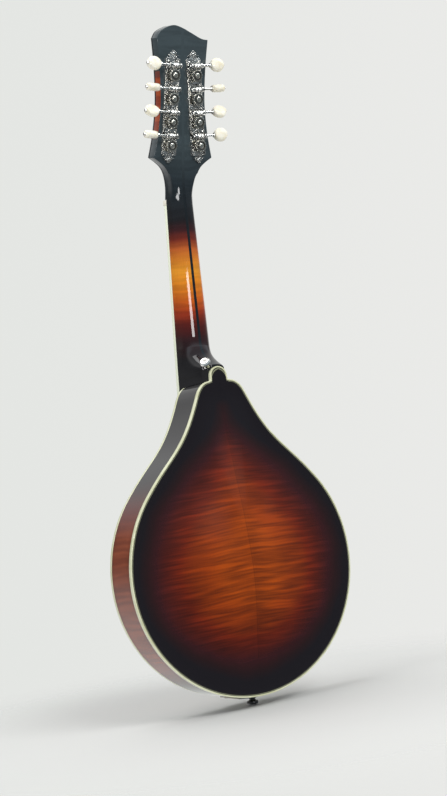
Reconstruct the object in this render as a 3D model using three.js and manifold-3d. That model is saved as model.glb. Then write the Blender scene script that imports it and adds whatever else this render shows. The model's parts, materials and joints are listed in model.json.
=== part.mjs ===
// An A-style mandolin with a carved and bound body, a three-piece neck and eight geared tuners.
// Millimetres. +Z runs from the end pin to the peghead, +Y points out of the back and
// +X to the treble side. The origin is the middle of the end pin's outer face.

import * as THREE from "three";
import { mergeVertices } from "three/addons/utils/BufferGeometryUtils.js";
import Module from "manifold-3d";

// Clearances shared by all pieces
const glueLine = 0.3;
const runningGap = 0.3;
const cutOverrun = 5;
const weldDistance = 1e-4;

// Body
const bodyRadius = 127;
const bodyLength = 313;
const bodyDepth = 44;
const shoulderDegrees = 129;
const shoulderHandleShare = 0.425;
const waistHandleShare = 0.472;
const tipHandleShare = 0.157;
const waistDegrees = 66;
const tipHalfWidth = 28.2;
const tipDrop = 13;
const tipFlat = 6;
const archHeight = 15;
const recurveDip = 0.8;
const recurveShare = 0.92;
const plateEdge = 4;
const plateThickness = 4.2;
const bindingWidth = 1.5;
const ribThickness = 2.2;
const liningWidth = 4;
const liningHeight = 7;
const neckBlockLength = 36;
const tailBlockLength = 20;
const tabRadius = 9.6;
const tabReach = 14.6;
const tabFootRise = 1.5;
const toneBarWidth = 6;
const toneBarSpread = 27;
const toneBarDepth = 3;
const toneBarStart = 62;
const toneBarLength = 160;
const soundHoleWidth = 6.4;
const soundHoleEye = 4.4;
const soundHoleLength = 74;
const soundHoleSpread = 47;
const soundHoleSlant = 23;

// Neck and fretboard
const neckDegrees = 5.5;
const freeNeckLength = 186;
const fretboardRise = 9.9;
const fretboardThickness = 4.8;
const fretboardBinding = 1.5;
const nutWidth = 28.6;
const fretboardEndWidth = 41;
const scaleLength = 352.4;
const fretCount = 21;
const fretHeight = 1;
const fretWidth = 1.9;
const boardPastLastFret = 5;
const neckDepthAtNut = 18;
const neckDepthAtHeel = 23.2;
const heelStart = 42;
const heelFoot = 18;
const heelBackShare = 0.56;
const centerStripWidth = 3;
const extensionInset = 5;
const tenonWidth = 22;
const tenonLength = 12;
const tenonHeight = 24;
const tenonRoot = 2;
const extensionGap = 1;
const pegheadTaper = 1;
const pegheadSwell = 1;
const nutThickness = 4.8;
const nutRise = 2;
const rodRadius = 2.4;
const rodEndInset = 6;

// Peghead
const pegheadDegrees = 9.7;
const pegheadThickness = 12.5;
const overlayThickness = 2.2;
const pegheadLength = 172;
const pegheadHalfWidth = 33.7;
const coverLength = 34;
const coverHalfWidth = 9;
const coverThickness = 1.6;
const coverStart = 1.2;

// Tuners
const tunerSpacing = 23;
const firstPost = 54.3;
const postRowSpread = 14.75;
const rowSplayDegrees = 3.5;
const postRadius = 3;
const postRise = 11;
const stringHoleRadius = 0.9;
const stringHoleRise = 8.2;
const tunerPlateWidth = 16.5;
const tunerPlateLength = 111;
const tunerPlateThickness = 1.2;
const tunerPlateEnd = 9;
const tunerPlateShift = 3.8;
const gearRadius = 6.2;
const gearThickness = 3;
const gearTeeth = 14;
const toothDepth = 1;
const wormOffset = 9.7;
const wormHeight = 6.2;
const wormRadius = 3.1;
const wormLength = 7.4;
const shaftRadius = 1.4;
const bearingThickness = 2.8;
const buttonReach = 24;
const buttonLength = 14;
const buttonAcross = 14;
const buttonThickness = 8;
const buttonTurnDegrees = { treble: [90, 40, 90, 15], bass: [5, 35, 90, 5] };
const bearingWall = 1.1;
const shaftEndGap = 0.4;
const threadDepth = 0.9;
const collarWall = 0.9;
const collarLength = 1.7;
const collarSlope = 0.3;
const buttonCapHeight = 1.2;
const gearScrewHeight = 0.9;
const gearScrewStep = 0.8;
const postHubStep = 1;
const postWaistDepth = 0.4;
const postWaistSlope = 1;
const postWaistLength = 2;
const stringHoleDrop = 1;

// Strings, from the treble side to the bass side
const stringGauges = [0.28, 0.28, 0.38, 0.38, 0.66, 0.66, 1.02, 1.02];
const stringNames = ["e_outer", "e_inner", "a_outer", "a_inner", "d_inner", "d_outer", "g_inner", "g_outer"];
const nutSpread = 22.4;
const bridgeSpread = 41;
const tailSpread = 32;
const courseGapAtNut = 2.1;
const courseGapAtBridge = 3;
const stringRiseAtNut = 1.5;
const stringRiseAtBridge = 3.7;
const windingStart = 2.6;
const windingGap = 0.5;
const windingLoops = 2.25;

// Bridge
const bridgeLength = 112;
const bridgeDepth = 12;
const baseRise = 2.6;
const saddleLength = 84;
const saddleDepth = 7;
const studSpread = 33;
const studRadius = 1.6;
const wheelRadius = 7.5;
const wheelThickness = 2.6;
const wheelTravelRoom = 1.3;
const studSocket = 1;
const saddleRelief = 2;
const saddleTipHeight = 3;

// Tailpiece and end pin
const tailpieceLength = 58;
const tailpieceHalfWidth = 27;
const tailpieceWall = 1.5;
const tailpieceGap = 2.4;
const tailpieceRises = [6.5, 12, 14.5, 16];
const tailpieceHeelRise = 3;
const tailpieceHeelGap = 0.5;
const flangeRise = 6;
const flangeHalfWidth = 20;
const flangeDrop = 9;
const anchorHeight = 8.5;
const anchorInset = 17;
const combThickness = 3;
const combDepth = 7;
const pinProud = 9.5;
const pinHeadRadius = 6;
const pinShankRadius = 3.6;
const pinShankLength = 18;
const strapButtonRadius = 5.4;
const strapButtonHeight = 9;
const strapButtonSide = 6.9;
const strapButtonDrop = 4.7;
const strapButtonReach = 15.4;
const strapButtonWayShares = [0.55, 0.62, 0.56];

// Pickguard
const guardThickness = 2;
const guardSet = 1.6;
const guardInnerGap = 1.5;
const guardReach = 40;
const guardStart = 14;
const guardWheelGap = 1.7;
const guardBlockWidth = 9;
const guardBlockLength = 12;
const guardBlockGap = 0.4;

const radians = THREE.MathUtils.degToRad;
const halfDepth = bodyDepth / 2;
const ribHalfDepth = halfDepth - plateEdge;
const guardLength = scaleLength - freeNeckLength - guardStart - wheelRadius - guardWheelGap;
const wasm = await Module();
wasm.setup();

// Solids, joins and cuts

function toSolid(geometry) {
  const bare = new THREE.BufferGeometry();
  bare.setAttribute("position", geometry.getAttribute("position"));
  bare.setIndex(geometry.getIndex());
  const merged = mergeVertices(bare, weldDistance);
  return new wasm.Manifold(new wasm.Mesh({
    numProp: 3,
    vertProperties: new Float32Array(merged.getAttribute("position").array),
    triVerts: new Uint32Array(merged.getIndex().array),
  }));
}

function toGeometry(solid) {
  const mesh = solid.getMesh();
  const geometry = new THREE.BufferGeometry();
  geometry.setAttribute("position", new THREE.BufferAttribute(new Float32Array(mesh.vertProperties), 3));
  geometry.setIndex(new THREE.BufferAttribute(new Uint32Array(mesh.triVerts), 1));
  return geometry;
}

function cut(base, ...tools) {
  return toGeometry(tools.reduce((solid, tool) => solid.subtract(toSolid(tool)), toSolid(base)));
}

function join(base, ...others) {
  return toGeometry(others.reduce((solid, other) => solid.add(toSolid(other)), toSolid(base)));
}

function common(base, other) {
  return toGeometry(toSolid(base).intersect(toSolid(other)));
}

function turnedOutward(geometry) {
  const position = geometry.getAttribute("position");
  const index = geometry.getIndex().array;
  const [a, b, c] = [new THREE.Vector3(), new THREE.Vector3(), new THREE.Vector3()];
  let volume = 0;
  for (let i = 0; i < index.length; i += 3) {
    a.fromBufferAttribute(position, index[i]);
    b.fromBufferAttribute(position, index[i + 1]);
    c.fromBufferAttribute(position, index[i + 2]);
    volume += a.dot(b.cross(c));
  }
  if (volume < 0) {
    for (let i = 0; i < index.length; i += 3) [index[i], index[i + 1]] = [index[i + 1], index[i]];
  }
  return geometry;
}

// Triangles over a flat loop of points in space
function capTriangles(loop) {
  const normal = new THREE.Vector3();
  loop.forEach((point, i) => {
    const next = loop[(i + 1) % loop.length];
    normal.x += (point.y - next.y) * (point.z + next.z);
    normal.y += (point.z - next.z) * (point.x + next.x);
    normal.z += (point.x - next.x) * (point.y + next.y);
  });
  const turn = new THREE.Quaternion().setFromUnitVectors(normal.normalize(), new THREE.Vector3(0, 0, 1));
  const flat = loop.map((point) => {
    const turned = point.clone().applyQuaternion(turn);
    return new THREE.Vector2(turned.x, turned.y);
  });
  return THREE.ShapeUtils.triangulateShape(flat, []);
}

// A skin through loops of points, closed by flat caps, by end points or on itself
function skin(loops, { ring = false, endPoint = null, startPoint = null } = {}) {
  const count = loops[0].length;
  const points = loops.flat();
  const index = [];
  const bands = ring ? loops.length : loops.length - 1;
  for (let band = 0; band < bands; band += 1) {
    const low = band * count;
    const high = ((band + 1) % loops.length) * count;
    for (let i = 0; i < count; i += 1) {
      const next = (i + 1) % count;
      index.push(low + i, low + next, high + next, low + i, high + next, high + i);
    }
  }
  if (!ring) {
    const last = (loops.length - 1) * count;
    if (startPoint) {
      points.push(startPoint);
      for (let i = 0; i < count; i += 1) index.push(points.length - 1, (i + 1) % count, i);
    } else {
      capTriangles(loops[0]).forEach(([a, b, c]) => index.push(a, c, b));
    }
    if (endPoint) {
      points.push(endPoint);
      for (let i = 0; i < count; i += 1) index.push(points.length - 1, last + i, last + (i + 1) % count);
    } else {
      capTriangles(loops.at(-1)).forEach(([a, b, c]) => index.push(last + a, last + b, last + c));
    }
  }
  const geometry = new THREE.BufferGeometry().setFromPoints(points);
  geometry.setIndex(new THREE.BufferAttribute(new Uint32Array(index), 1));
  return turnedOutward(geometry);
}

// A straight prism over an outline, drawn in the plane square to the axis named
function prism(outline, axis, from, to) {
  const place = {
    x: (p, at) => new THREE.Vector3(at, p.x, p.y),
    y: (p, at) => new THREE.Vector3(p.x, at, p.y),
    z: (p, at) => new THREE.Vector3(p.x, p.y, at),
  }[axis];
  return skin([from, to].map((at) => outline.map((point) => place(point, at))));
}

function box(x0, x1, y0, y1, z0, z1) {
  const outline = [[x0, y0], [x1, y0], [x1, y1], [x0, y1]].map(([x, y]) => new THREE.Vector2(x, y));
  return prism(outline, "z", z0, z1);
}

// A turned solid; the profile is [radius, distance along the axis], the axis x, y or z
function turned(profile, axis, sides) {
  const points = profile.map(([radius, along]) => new THREE.Vector2(radius, along));
  const geometry = new THREE.LatheGeometry(points, sides);
  if (axis === "z") geometry.rotateX(Math.PI / 2);
  if (axis === "x") geometry.rotateZ(-Math.PI / 2);
  geometry.deleteAttribute("normal");
  geometry.deleteAttribute("uv");
  const merged = mergeVertices(geometry, weldDistance);
  const index = Array.from(merged.getIndex().array);
  const kept = [];
  for (let i = 0; i < index.length; i += 3) {
    const [a, b, c] = index.slice(i, i + 3);
    if (a !== b && b !== c && a !== c) kept.push(a, b, c);
  }
  merged.setIndex(new THREE.BufferAttribute(new Uint32Array(kept), 1));
  return turnedOutward(merged);
}

function rod(radius, axis, from, to, sides) {
  return turned([[0, from], [radius, from], [radius, to], [0, to]], axis, sides);
}

// A round tube through points, with square ends
function tube(points, radius, sides) {
  const tangents = points.map((point, i) => {
    const before = points[Math.max(i - 1, 0)];
    const after = points[Math.min(i + 1, points.length - 1)];
    const into = point.clone().sub(before).normalize();
    const out = after.clone().sub(point).normalize();
    return into.add(out).normalize();
  });
  let side = new THREE.Vector3(1, 0, 0).cross(tangents[0]).cross(tangents[0]).normalize();
  const loops = points.map((point, i) => {
    side = side.clone().addScaledVector(tangents[i], -side.dot(tangents[i])).normalize();
    const up = tangents[i].clone().cross(side);
    return Array.from({ length: sides }, (_, k) => {
      const angle = (2 * Math.PI * k) / sides;
      return point.clone()
        .addScaledVector(side, radius * Math.cos(angle))
        .addScaledVector(up, radius * Math.sin(angle));
    });
  });
  return skin(loops);
}

function moved(geometry, x, y, z) {
  return geometry.clone().translate(x, y, z);
}

// Moves a geometry from one group's frame into another's
function reframed(geometry, from, to) {
  const matrix = to.matrixWorld.clone().invert().multiply(from.matrixWorld);
  return geometry.clone().applyMatrix4(matrix);
}

// Materials
const finish = (color, roughness, metalness) =>
  new THREE.MeshStandardMaterial({ color, roughness, metalness });
const materials = {
  spruce: () => finish(0x8a4a20, 0.25, 0),
  maple: () => finish(0x7a3a1c, 0.25, 0),
  bareWood: () => finish(0xc9a878, 0.7, 0),
  lacquer: () => finish(0x23282b, 0.15, 0),
  ebony: () => finish(0x1d1916, 0.45, 0),
  ivory: () => finish(0xe6ebd5, 0.35, 0),
  bone: () => finish(0xe4e0d2, 0.4, 0),
  nickel: () => finish(0xb8b4aa, 0.25, 1),
  steel: () => finish(0x9a9a98, 0.35, 1),
  blackPlastic: () => finish(0x191919, 0.3, 0),
};

// Frames
const instrument = new THREE.Group();
const bodyFrame = new THREE.Group();
bodyFrame.position.set(0, 0, pinProud);
const neckFrame = new THREE.Group();
neckFrame.position.set(0, -(halfDepth + fretboardRise), bodyLength);
neckFrame.rotation.x = -radians(neckDegrees);
const strapFrame = new THREE.Group();
strapFrame.position.set(strapButtonSide, ribHalfDepth - strapButtonDrop, bodyLength + strapButtonReach);
strapFrame.quaternion.setFromUnitVectors(
  new THREE.Vector3(0, 1, 0), new THREE.Vector3(...strapButtonWayShares).normalize());
const pegheadStart = freeNeckLength + glueLine + nutThickness + glueLine;
const pegheadFrame = new THREE.Group();
pegheadFrame.position.set(0, fretboardThickness - overlayThickness, pegheadStart);
pegheadFrame.rotation.x = -radians(pegheadDegrees);
instrument.add(bodyFrame);
bodyFrame.add(neckFrame, strapFrame);
neckFrame.add(pegheadFrame);
instrument.updateMatrixWorld(true);

function addPart(parent, name, geometry, material) {
  const mesh = new THREE.Mesh(geometry, material);
  mesh.name = name;
  mesh.geometry.computeVertexNormals();
  parent.add(mesh);
  return mesh;
}

// Body outline: an arc round the lower bout, then a hollow shoulder up to the rounded end
function halfOutline() {
  const turn = radians(shoulderDegrees);
  const start = new THREE.Vector2(bodyRadius * Math.sin(turn), bodyRadius * (1 - Math.cos(turn)));
  const startWay = new THREE.Vector2(Math.cos(turn), Math.sin(turn));
  const tip = new THREE.Vector2(tipHalfWidth, bodyLength - tipDrop);
  const tipWay = new THREE.Vector2(-Math.cos(radians(waistDegrees)), Math.sin(radians(waistDegrees)));
  const end = new THREE.Vector2(tipFlat, bodyLength);
  const along = (point, way, share) => point.clone().addScaledVector(way, share * bodyRadius);
  const bout = new THREE.EllipseCurve(
    0, bodyRadius, bodyRadius, bodyRadius, -Math.PI / 2, turn - Math.PI / 2);
  const shoulder = new THREE.CubicBezierCurve(
    start, along(start, startWay, shoulderHandleShare), along(tip, tipWay, -waistHandleShare), tip);
  const tipCurve = new THREE.CubicBezierCurve(
    tip, along(tip, tipWay, tipHandleShare), new THREE.Vector2(tipFlat + tipFlat / 3, bodyLength), end);
  return [...bout.getPoints(15), ...shoulder.getPoints(7).slice(1), ...tipCurve.getPoints(3).slice(1)];
}

// The small round tab of the back plate that caps the heel
function tabOutline() {
  const centre = bodyLength + tabReach - tabRadius;
  const arc = new THREE.EllipseCurve(0, centre, tabRadius, tabRadius, 0, Math.PI / 2);
  return arc.getPoints(4);
}

function mirrored(half) {
  const other = half.filter((p) => p.x > glueLine).map((p) => new THREE.Vector2(-p.x, p.y)).reverse();
  return [...half, ...other];
}

const sideHalf = halfOutline();
const rimOutline = mirrored(sideHalf);
const belowTab = sideHalf.filter((p) => p.y < bodyLength - tipDrop || p.x > tabRadius + bindingWidth);
const backOutline = mirrored([
  ...belowTab, new THREE.Vector2(tabRadius, bodyLength + tabFootRise), ...tabOutline()]);

// A loop moved inwards by a distance, square to its edges
function inset(loop, distance) {
  return loop.map((point, i) => {
    const before = loop.at(i - 1);
    const after = loop[(i + 1) % loop.length];
    const a = point.clone().sub(before).normalize();
    const b = after.clone().sub(point).normalize();
    const normal = new THREE.Vector2(-(a.y + b.y), a.x + b.x).normalize();
    const lean = Math.max(normal.dot(new THREE.Vector2(-a.y, a.x)), 0.5);
    return point.clone().addScaledVector(normal, distance / lean);
  });
}

function levelled(loop, y) {
  return loop.map((point) => new THREE.Vector3(point.x, y, point.y));
}

function shrunk(loop, share) {
  return loop.map((point) => new THREE.Vector2(
    point.x * share, bodyRadius + (point.y - bodyRadius) * share));
}

// Height of the carved arch over the plate's edge, by the share of the way out from the middle
function archRise(share) {
  if (share < recurveShare) {
    const fall = (1 + Math.cos((Math.PI * share) / recurveShare)) / 2;
    return (archHeight + recurveDip) * fall - recurveDip;
  }
  const climb = (share - recurveShare) / (1 - recurveShare);
  return recurveDip * (climb * climb - 1);
}

const outerShares = [1, 0.96, 0.92, 0.82, 0.68, 0.5, 0.28];
const innerShares = [0.86, 0.7, 0.48, 0.24];

// A carved plate; way is -1 for the top and 1 for the back
function carvedPlate(outline, way) {
  const edge = inset(outline, bindingWidth + glueLine);
  const withoutTab = edge.map((p) => new THREE.Vector2(p.x, Math.min(p.y, bodyLength - bindingWidth)));
  const outer = outerShares.map((share) =>
    levelled(shrunk(share === 1 ? edge : withoutTab, share), way * (halfDepth + archRise(share))));
  const inner = innerShares.map((share, i) => {
    const rise = i === 0 ? -plateEdge : archRise(share) - plateThickness;
    return levelled(shrunk(withoutTab, share), way * (halfDepth + rise));
  });
  const seat = levelled(edge, way * ribHalfDepth);
  const middle = (rise) => new THREE.Vector3(0, way * (halfDepth + rise), bodyRadius);
  return skin([...inner.reverse(), seat, ...outer], {
    startPoint: middle(archHeight - plateThickness),
    endPoint: middle(archHeight),
  });
}

// The space that the closed body fills, grown by a clearance, with the top's arch
function bodyEnvelope(clearance) {
  const grown = inset(rimOutline, -clearance);
  const arch = outerShares.slice(1).map((share) =>
    levelled(shrunk(rimOutline, share), -(halfDepth + archRise(share) + clearance)));
  return skin([
    levelled(grown, halfDepth + cutOverrun),
    levelled(grown, -(halfDepth + clearance)),
    ...arch,
  ], { endPoint: new THREE.Vector3(0, -(halfDepth + archHeight + clearance), bodyRadius) });
}

// The space under the top plate's arch, shrunk by the glue line
function underTop() {
  const edge = inset(rimOutline, bindingWidth + glueLine);
  const arch = innerShares.slice(1).map((share) =>
    levelled(shrunk(edge, share), -(halfDepth + archRise(share) - plateThickness - glueLine)));
  return skin([
    levelled(shrunk(edge, innerShares[0]), 0),
    levelled(shrunk(edge, innerShares[0]), -(ribHalfDepth - glueLine)),
    ...arch,
  ], { endPoint: new THREE.Vector3(0, -(halfDepth + archHeight - plateThickness - glueLine), bodyRadius) });
}

// One sound hole: a slanted s-shaped slot with a round eye at each end
function soundHole(side) {
  const bridgeLine = bridgeZ();
  const place = (acrossShare, alongShare) => new THREE.Vector2(
    side * (soundHoleSpread + acrossShare * soundHoleSlant), bridgeLine + alongShare * soundHoleLength);
  const upperEye = place(-0.5, 0.44);
  const lowerEye = place(0.5, -0.44);
  const route = new THREE.CubicBezierCurve(
    place(-0.62, 0.5), place(0.42, 0.34), place(-0.42, -0.34), place(0.62, -0.5));
  const stations = 8;
  const edges = [[], []];
  for (let i = 0; i <= stations; i += 1) {
    const share = i / stations;
    const point = route.getPoint(share);
    const way = route.getTangent(share);
    const half = (soundHoleWidth / 2) * (0.35 + 0.65 * Math.sin(Math.PI * share));
    edges[0].push(new THREE.Vector2(point.x - way.y * half, point.y + way.x * half));
    edges[1].unshift(new THREE.Vector2(point.x + way.y * half, point.y - way.x * half));
  }
  const from = -(halfDepth + archHeight + cutOverrun);
  const to = -(ribHalfDepth - cutOverrun);
  const slot = prism([...edges[0], ...edges[1]], "y", from, to);
  const eye = (centre) => moved(rod(soundHoleEye, "y", from, to, 12), centre.x, 0, centre.y);
  return join(slot, eye(upperEye), eye(lowerEye));
}

// Where the strings cross the bridge, along the body
function bridgeZ() {
  const alongNeck = freeNeckLength - scaleLength;
  return bodyLength + alongNeck * Math.cos(radians(neckDegrees));
}

// A ring round the body over a section of [inset, y] corners
function bodyRing(outline, section) {
  return skin(section.map(([distance, y]) => levelled(inset(outline, distance), y)), { ring: true });
}

function rimGeometry() {
  const lining = ribThickness + liningWidth;
  const liningEdge = ribHalfDepth - liningHeight;
  const slope = liningEdge - liningWidth / 2;
  const ring = bodyRing(rimOutline, [
    [0, -ribHalfDepth], [0, ribHalfDepth], [lining, ribHalfDepth], [lining, liningEdge],
    [ribThickness, slope], [ribThickness, -slope], [lining, -liningEdge], [lining, -ribHalfDepth]]);
  return cut(ring, tenonSolid(runningGap), pinHole());
}

function tenonSolid(clearance) {
  const half = tenonWidth / 2 + clearance;
  const high = tenonHeight / 2 + clearance;
  return box(-half, half, -high, high, bodyLength - tenonLength - clearance, bodyLength + tenonRoot);
}

function pinHole() {
  return rod(pinShankRadius + runningGap, "z", -cutOverrun, pinShankLength + cutOverrun, 12);
}

// A block inside the rim at one end of the body, stepped round the linings
function endBlock(fromZ, toZ, ...holes) {
  const lining = ribThickness + liningWidth + glueLine;
  const step = ribHalfDepth - liningHeight - liningWidth / 2 - glueLine;
  const slab = (distance, halfHeight) =>
    prism(inset(rimOutline, distance), "y", -halfHeight, halfHeight);
  const full = join(slab(ribThickness + glueLine, step), slab(lining, ribHalfDepth - glueLine));
  const reach = bodyRadius + cutOverrun;
  return cut(common(full, box(-reach, reach, -bodyDepth, bodyDepth, fromZ, toZ)), ...holes);
}

function toneBar(side) {
  const near = side * toneBarSpread - toneBarWidth / 2;
  const blank = box(near, near + toneBarWidth, -bodyDepth, -(ribHalfDepth + toneBarDepth),
    toneBarStart, toneBarStart + toneBarLength);
  return common(blank, underTop());
}

function addBody() {
  const bindingSection = (way) => [
    [0, way * ribHalfDepth], [0, way * halfDepth],
    [bindingWidth, way * halfDepth], [bindingWidth, way * ribHalfDepth]];
  const top = cut(carvedPlate(rimOutline, -1), soundHole(1), soundHole(-1));
  addPart(bodyFrame, "top_plate", top, materials.spruce());
  addPart(bodyFrame, "back_plate", carvedPlate(backOutline, 1), materials.maple());
  addPart(bodyFrame, "rim", rimGeometry(), materials.maple());
  addPart(bodyFrame, "top_binding", bodyRing(rimOutline, bindingSection(-1)), materials.ivory());
  addPart(bodyFrame, "back_binding", bodyRing(backOutline, bindingSection(1)), materials.ivory());
  const neckBlock = endBlock(bodyLength - neckBlockLength, bodyLength, tenonSolid(runningGap));
  addPart(bodyFrame, "neck_block", neckBlock, materials.bareWood());
  addPart(bodyFrame, "tail_block", endBlock(0, tailBlockLength, pinHole()), materials.bareWood());
  addPart(bodyFrame, "treble_tone_bar", toneBar(1), materials.bareWood());
  addPart(bodyFrame, "bass_tone_bar", toneBar(-1), materials.bareWood());
}

function endPin() {
  const neckRadius = pinHeadRadius / 2;
  const headThickness = pinProud * 0.42;
  const seat = -(tailpieceWall + 2 * glueLine);
  const collar = pinShankRadius * 1.25;
  return turned([
    [0, -pinProud], [pinHeadRadius * 0.7, -pinProud], [pinHeadRadius, -pinProud + headThickness / 2],
    [pinHeadRadius, -pinProud + headThickness], [neckRadius, -pinProud + headThickness * 1.3],
    [neckRadius, seat * 1.6], [collar, seat * 1.5], [collar, seat], [pinShankRadius, seat],
    [pinShankRadius * 0.85, pinShankLength], [0, pinShankLength]], "z", 12);
}

// Half width of the fretboard at a distance from the body joint towards the nut
const boardLength = scaleLength * (1 - 2 ** (-fretCount / 12)) + boardPastLastFret;
const boardEnd = freeNeckLength - boardLength;

function boardHalfWidth(along) {
  const share = (freeNeckLength - along) / boardLength;
  return (nutWidth + (fretboardEndWidth - nutWidth) * share) / 2;
}

const woodTop = fretboardThickness + glueLine;

// One cross-section of the neck; square is 0 on the round shaft and 1 where its sides are straight
function neckSection(along, halfWidth, top, back, square, backShare = heelBackShare) {
  const depthShares = [0, 0.25, 0.5, 0.72, 0.88, 0.97];
  const side = depthShares.map((share) => {
    const round = Math.sqrt(1 - share ** 2.3);
    const straight = (1 - (1 - backShare) * share) * Math.sqrt(1 - share ** 12);
    const width = halfWidth * (round + (straight - round) * square);
    return new THREE.Vector3(width, top + (back - top) * share, along);
  });
  const other = side.map((p) => new THREE.Vector3(-p.x, p.y, p.z)).reverse();
  return [...side, new THREE.Vector3(0, back, along), ...other];
}

function neckShaft() {
  const slope = (neckDepthAtHeel - neckDepthAtNut) / (freeNeckLength - heelStart);
  const shaftDepth = (along) => neckDepthAtNut + (freeNeckLength - along) * slope;
  const foot = bodyDepth + fretboardRise;
  const drop = foot - neckDepthAtHeel;
  const coveShares = [[0, 1], [0.1, 0.89], [0.25, 0.62], [0.45, 0.33], [0.68, 0.12], [1, 0]];
  const pegTop = (along) => woodTop + (along - pegheadStart) * Math.tan(radians(pegheadDegrees)) + glueLine;
  const sections = [];
  sections.push(neckSection(-heelFoot, boardHalfWidth(0), woodTop, foot, 1));
  coveShares.forEach(([alongShare, dropShare]) => {
    const along = heelFoot + (heelStart - heelFoot) * alongShare;
    sections.push(neckSection(along, boardHalfWidth(along), woodTop, neckDepthAtHeel + drop * dropShare,
      Math.sqrt(dropShare)));
  });
  const stations = 4;
  for (let i = 1; i <= stations; i += 1) {
    const along = heelStart + ((freeNeckLength - heelStart) * i) / stations;
    sections.push(neckSection(along, boardHalfWidth(along), woodTop, shaftDepth(along), 0));
  }
  const pastNut = pegheadStart + nutThickness * 2;
  const inPeghead = pegheadStart + nutThickness * 5;
  sections.push(neckSection(pastNut, nutWidth / 2, pegTop(pastNut), neckDepthAtNut, 0));
  sections.push(neckSection(
    inPeghead, nutWidth / 2 - pegheadTaper, pegTop(inPeghead), neckDepthAtNut + pegheadSwell, 0));
  return skin(sections);
}

// The wood under the end of the fretboard, which sits on the top plate
function neckExtension() {
  const half = (along) => boardHalfWidth(along) - extensionInset;
  const end = boardEnd + extensionInset;
  const outline = [
    [half(end), end], [half(0), extensionGap], [-half(0), extensionGap], [-half(end), end]];
  return prism(outline.map(([x, z]) => new THREE.Vector2(x, z)), "y", woodTop, woodTop + fretboardRise * 2);
}

// Peghead outline, seen from the front, with the treble side at +x
function pegheadOutline() {
  const wingShares = [[0.424, 0], [0.424, 0.075], [0.49, 0.145], [0.61, 0.19], [0.8, 0.222], [1, 0.247]];
  const flankShares = [
    [1, 0.247], [0.862, 0.375], [0.775, 0.51], [0.757, 0.62], [0.795, 0.78], [0.87, 0.925]];
  const crestShares = [
    [0.87, 0.925], [0.72, 0.968], [0.335, 1], [0.04, 0.991], [-0.3, 0.962], [-0.645, 0.931], [-0.87, 0.925]];
  const smooth = (shares, count) => {
    const points = shares.map(([x, z]) => new THREE.Vector2(x * pegheadHalfWidth, z * pegheadLength));
    return new THREE.SplineCurve(points).getPoints(count);
  };
  const treble = [...smooth(wingShares, 7), ...smooth(flankShares, 7).slice(1)];
  const bass = treble.map((point) => new THREE.Vector2(-point.x, point.y)).reverse();
  return [...treble, ...smooth(crestShares, 12).slice(1, -1), ...bass];
}

// The room for the peghead's wood: round like the neck at its foot and square above
function pegheadRoom() {
  const back = (neckDepthAtNut - fretboardThickness + overlayThickness) / Math.cos(radians(pegheadDegrees));
  const blendShares = [
    [0, 0.43, 0], [0.05, 0.436, 0.15], [0.1, 0.47, 0.4], [0.15, 0.54, 0.7], [0.2, 0.78, 1], [0.25, 1.1, 1],
    [1.05, 1.1, 1]];
  return skin(blendShares.map(([z, x, square]) =>
    neckSection(z * pegheadLength, x * pegheadHalfWidth, 0, back, square, 1)));
}

// The place of a tuner's post in the peghead, from 0 next to the nut to 3 at the top
function postPlace(side, number) {
  const along = (number - 1.5) * tunerSpacing;
  const splay = radians(rowSplayDegrees);
  const middle = firstPost + 1.5 * tunerSpacing;
  return new THREE.Vector2(
    side * (postRowSpread - along * Math.sin(splay)), middle + along * Math.cos(splay));
}

function postHoles() {
  const holes = [];
  for (const side of [1, -1]) {
    for (let number = 0; number < 4; number += 1) {
      const place = postPlace(side, number);
      const hole = rod(postRadius + 2 * runningGap, "y", -cutOverrun, pegheadThickness + cutOverrun, 8);
      holes.push(moved(hole, place.x, 0, place.y));
    }
  }
  return holes;
}

// The channel for the truss rod, from under the fretboard to the pocket behind its cover
function rodChannel(from) {
  const half = rodRadius + glueLine;
  return box(-half, half, -nutRise, woodTop + 2 * half, from, pegheadStart + coverLength / 2);
}

function addNeck() {
  const woodStart = overlayThickness + glueLine;
  const slab = prism(pegheadOutline(), "y", woodStart, pegheadThickness);
  const pegheadWood = cut(common(slab, pegheadRoom()), ...postHoles());
  const envelope = reframed(bodyEnvelope(glueLine), bodyFrame, neckFrame);
  const reach = bodyRadius;
  const underTab = reframed(
    box(-reach, reach, ribHalfDepth - glueLine, bodyDepth * 2, 0, bodyLength * 2), bodyFrame, neckFrame);
  const tenon = reframed(tenonSolid(0), bodyFrame, neckFrame);
  const spotFace = reframed(
    rod(strapButtonRadius, "y", -glueLine, strapButtonHeight * 2, 12), strapFrame, neckFrame);
  const trimmed = cut(join(neckShaft(), neckExtension()), envelope, underTab, spotFace);
  const blank = cut(join(trimmed, tenon, reframed(pegheadWood, pegheadFrame, neckFrame)),
    rodChannel(rodEndInset - glueLine));
  const half = centerStripWidth / 2;
  const layer = (x0, x1) => common(blank, box(x0, x1, -bodyLength, bodyLength, -bodyLength, 2 * bodyLength));
  addPart(neckFrame, "neck_treble_half", layer(half, reach), materials.maple());
  addPart(neckFrame, "neck_center_strip", layer(-half, half), materials.ebony());
  addPart(neckFrame, "neck_bass_half", layer(-reach, -half), materials.maple());
  const rodHeight = woodTop + rodRadius + glueLine;
  const truss = moved(rod(rodRadius, "z", rodEndInset, pegheadStart + coverLength / 3, 8), 0, rodHeight, 0);
  addPart(neckFrame, "truss_rod", truss, materials.steel());
}

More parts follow.
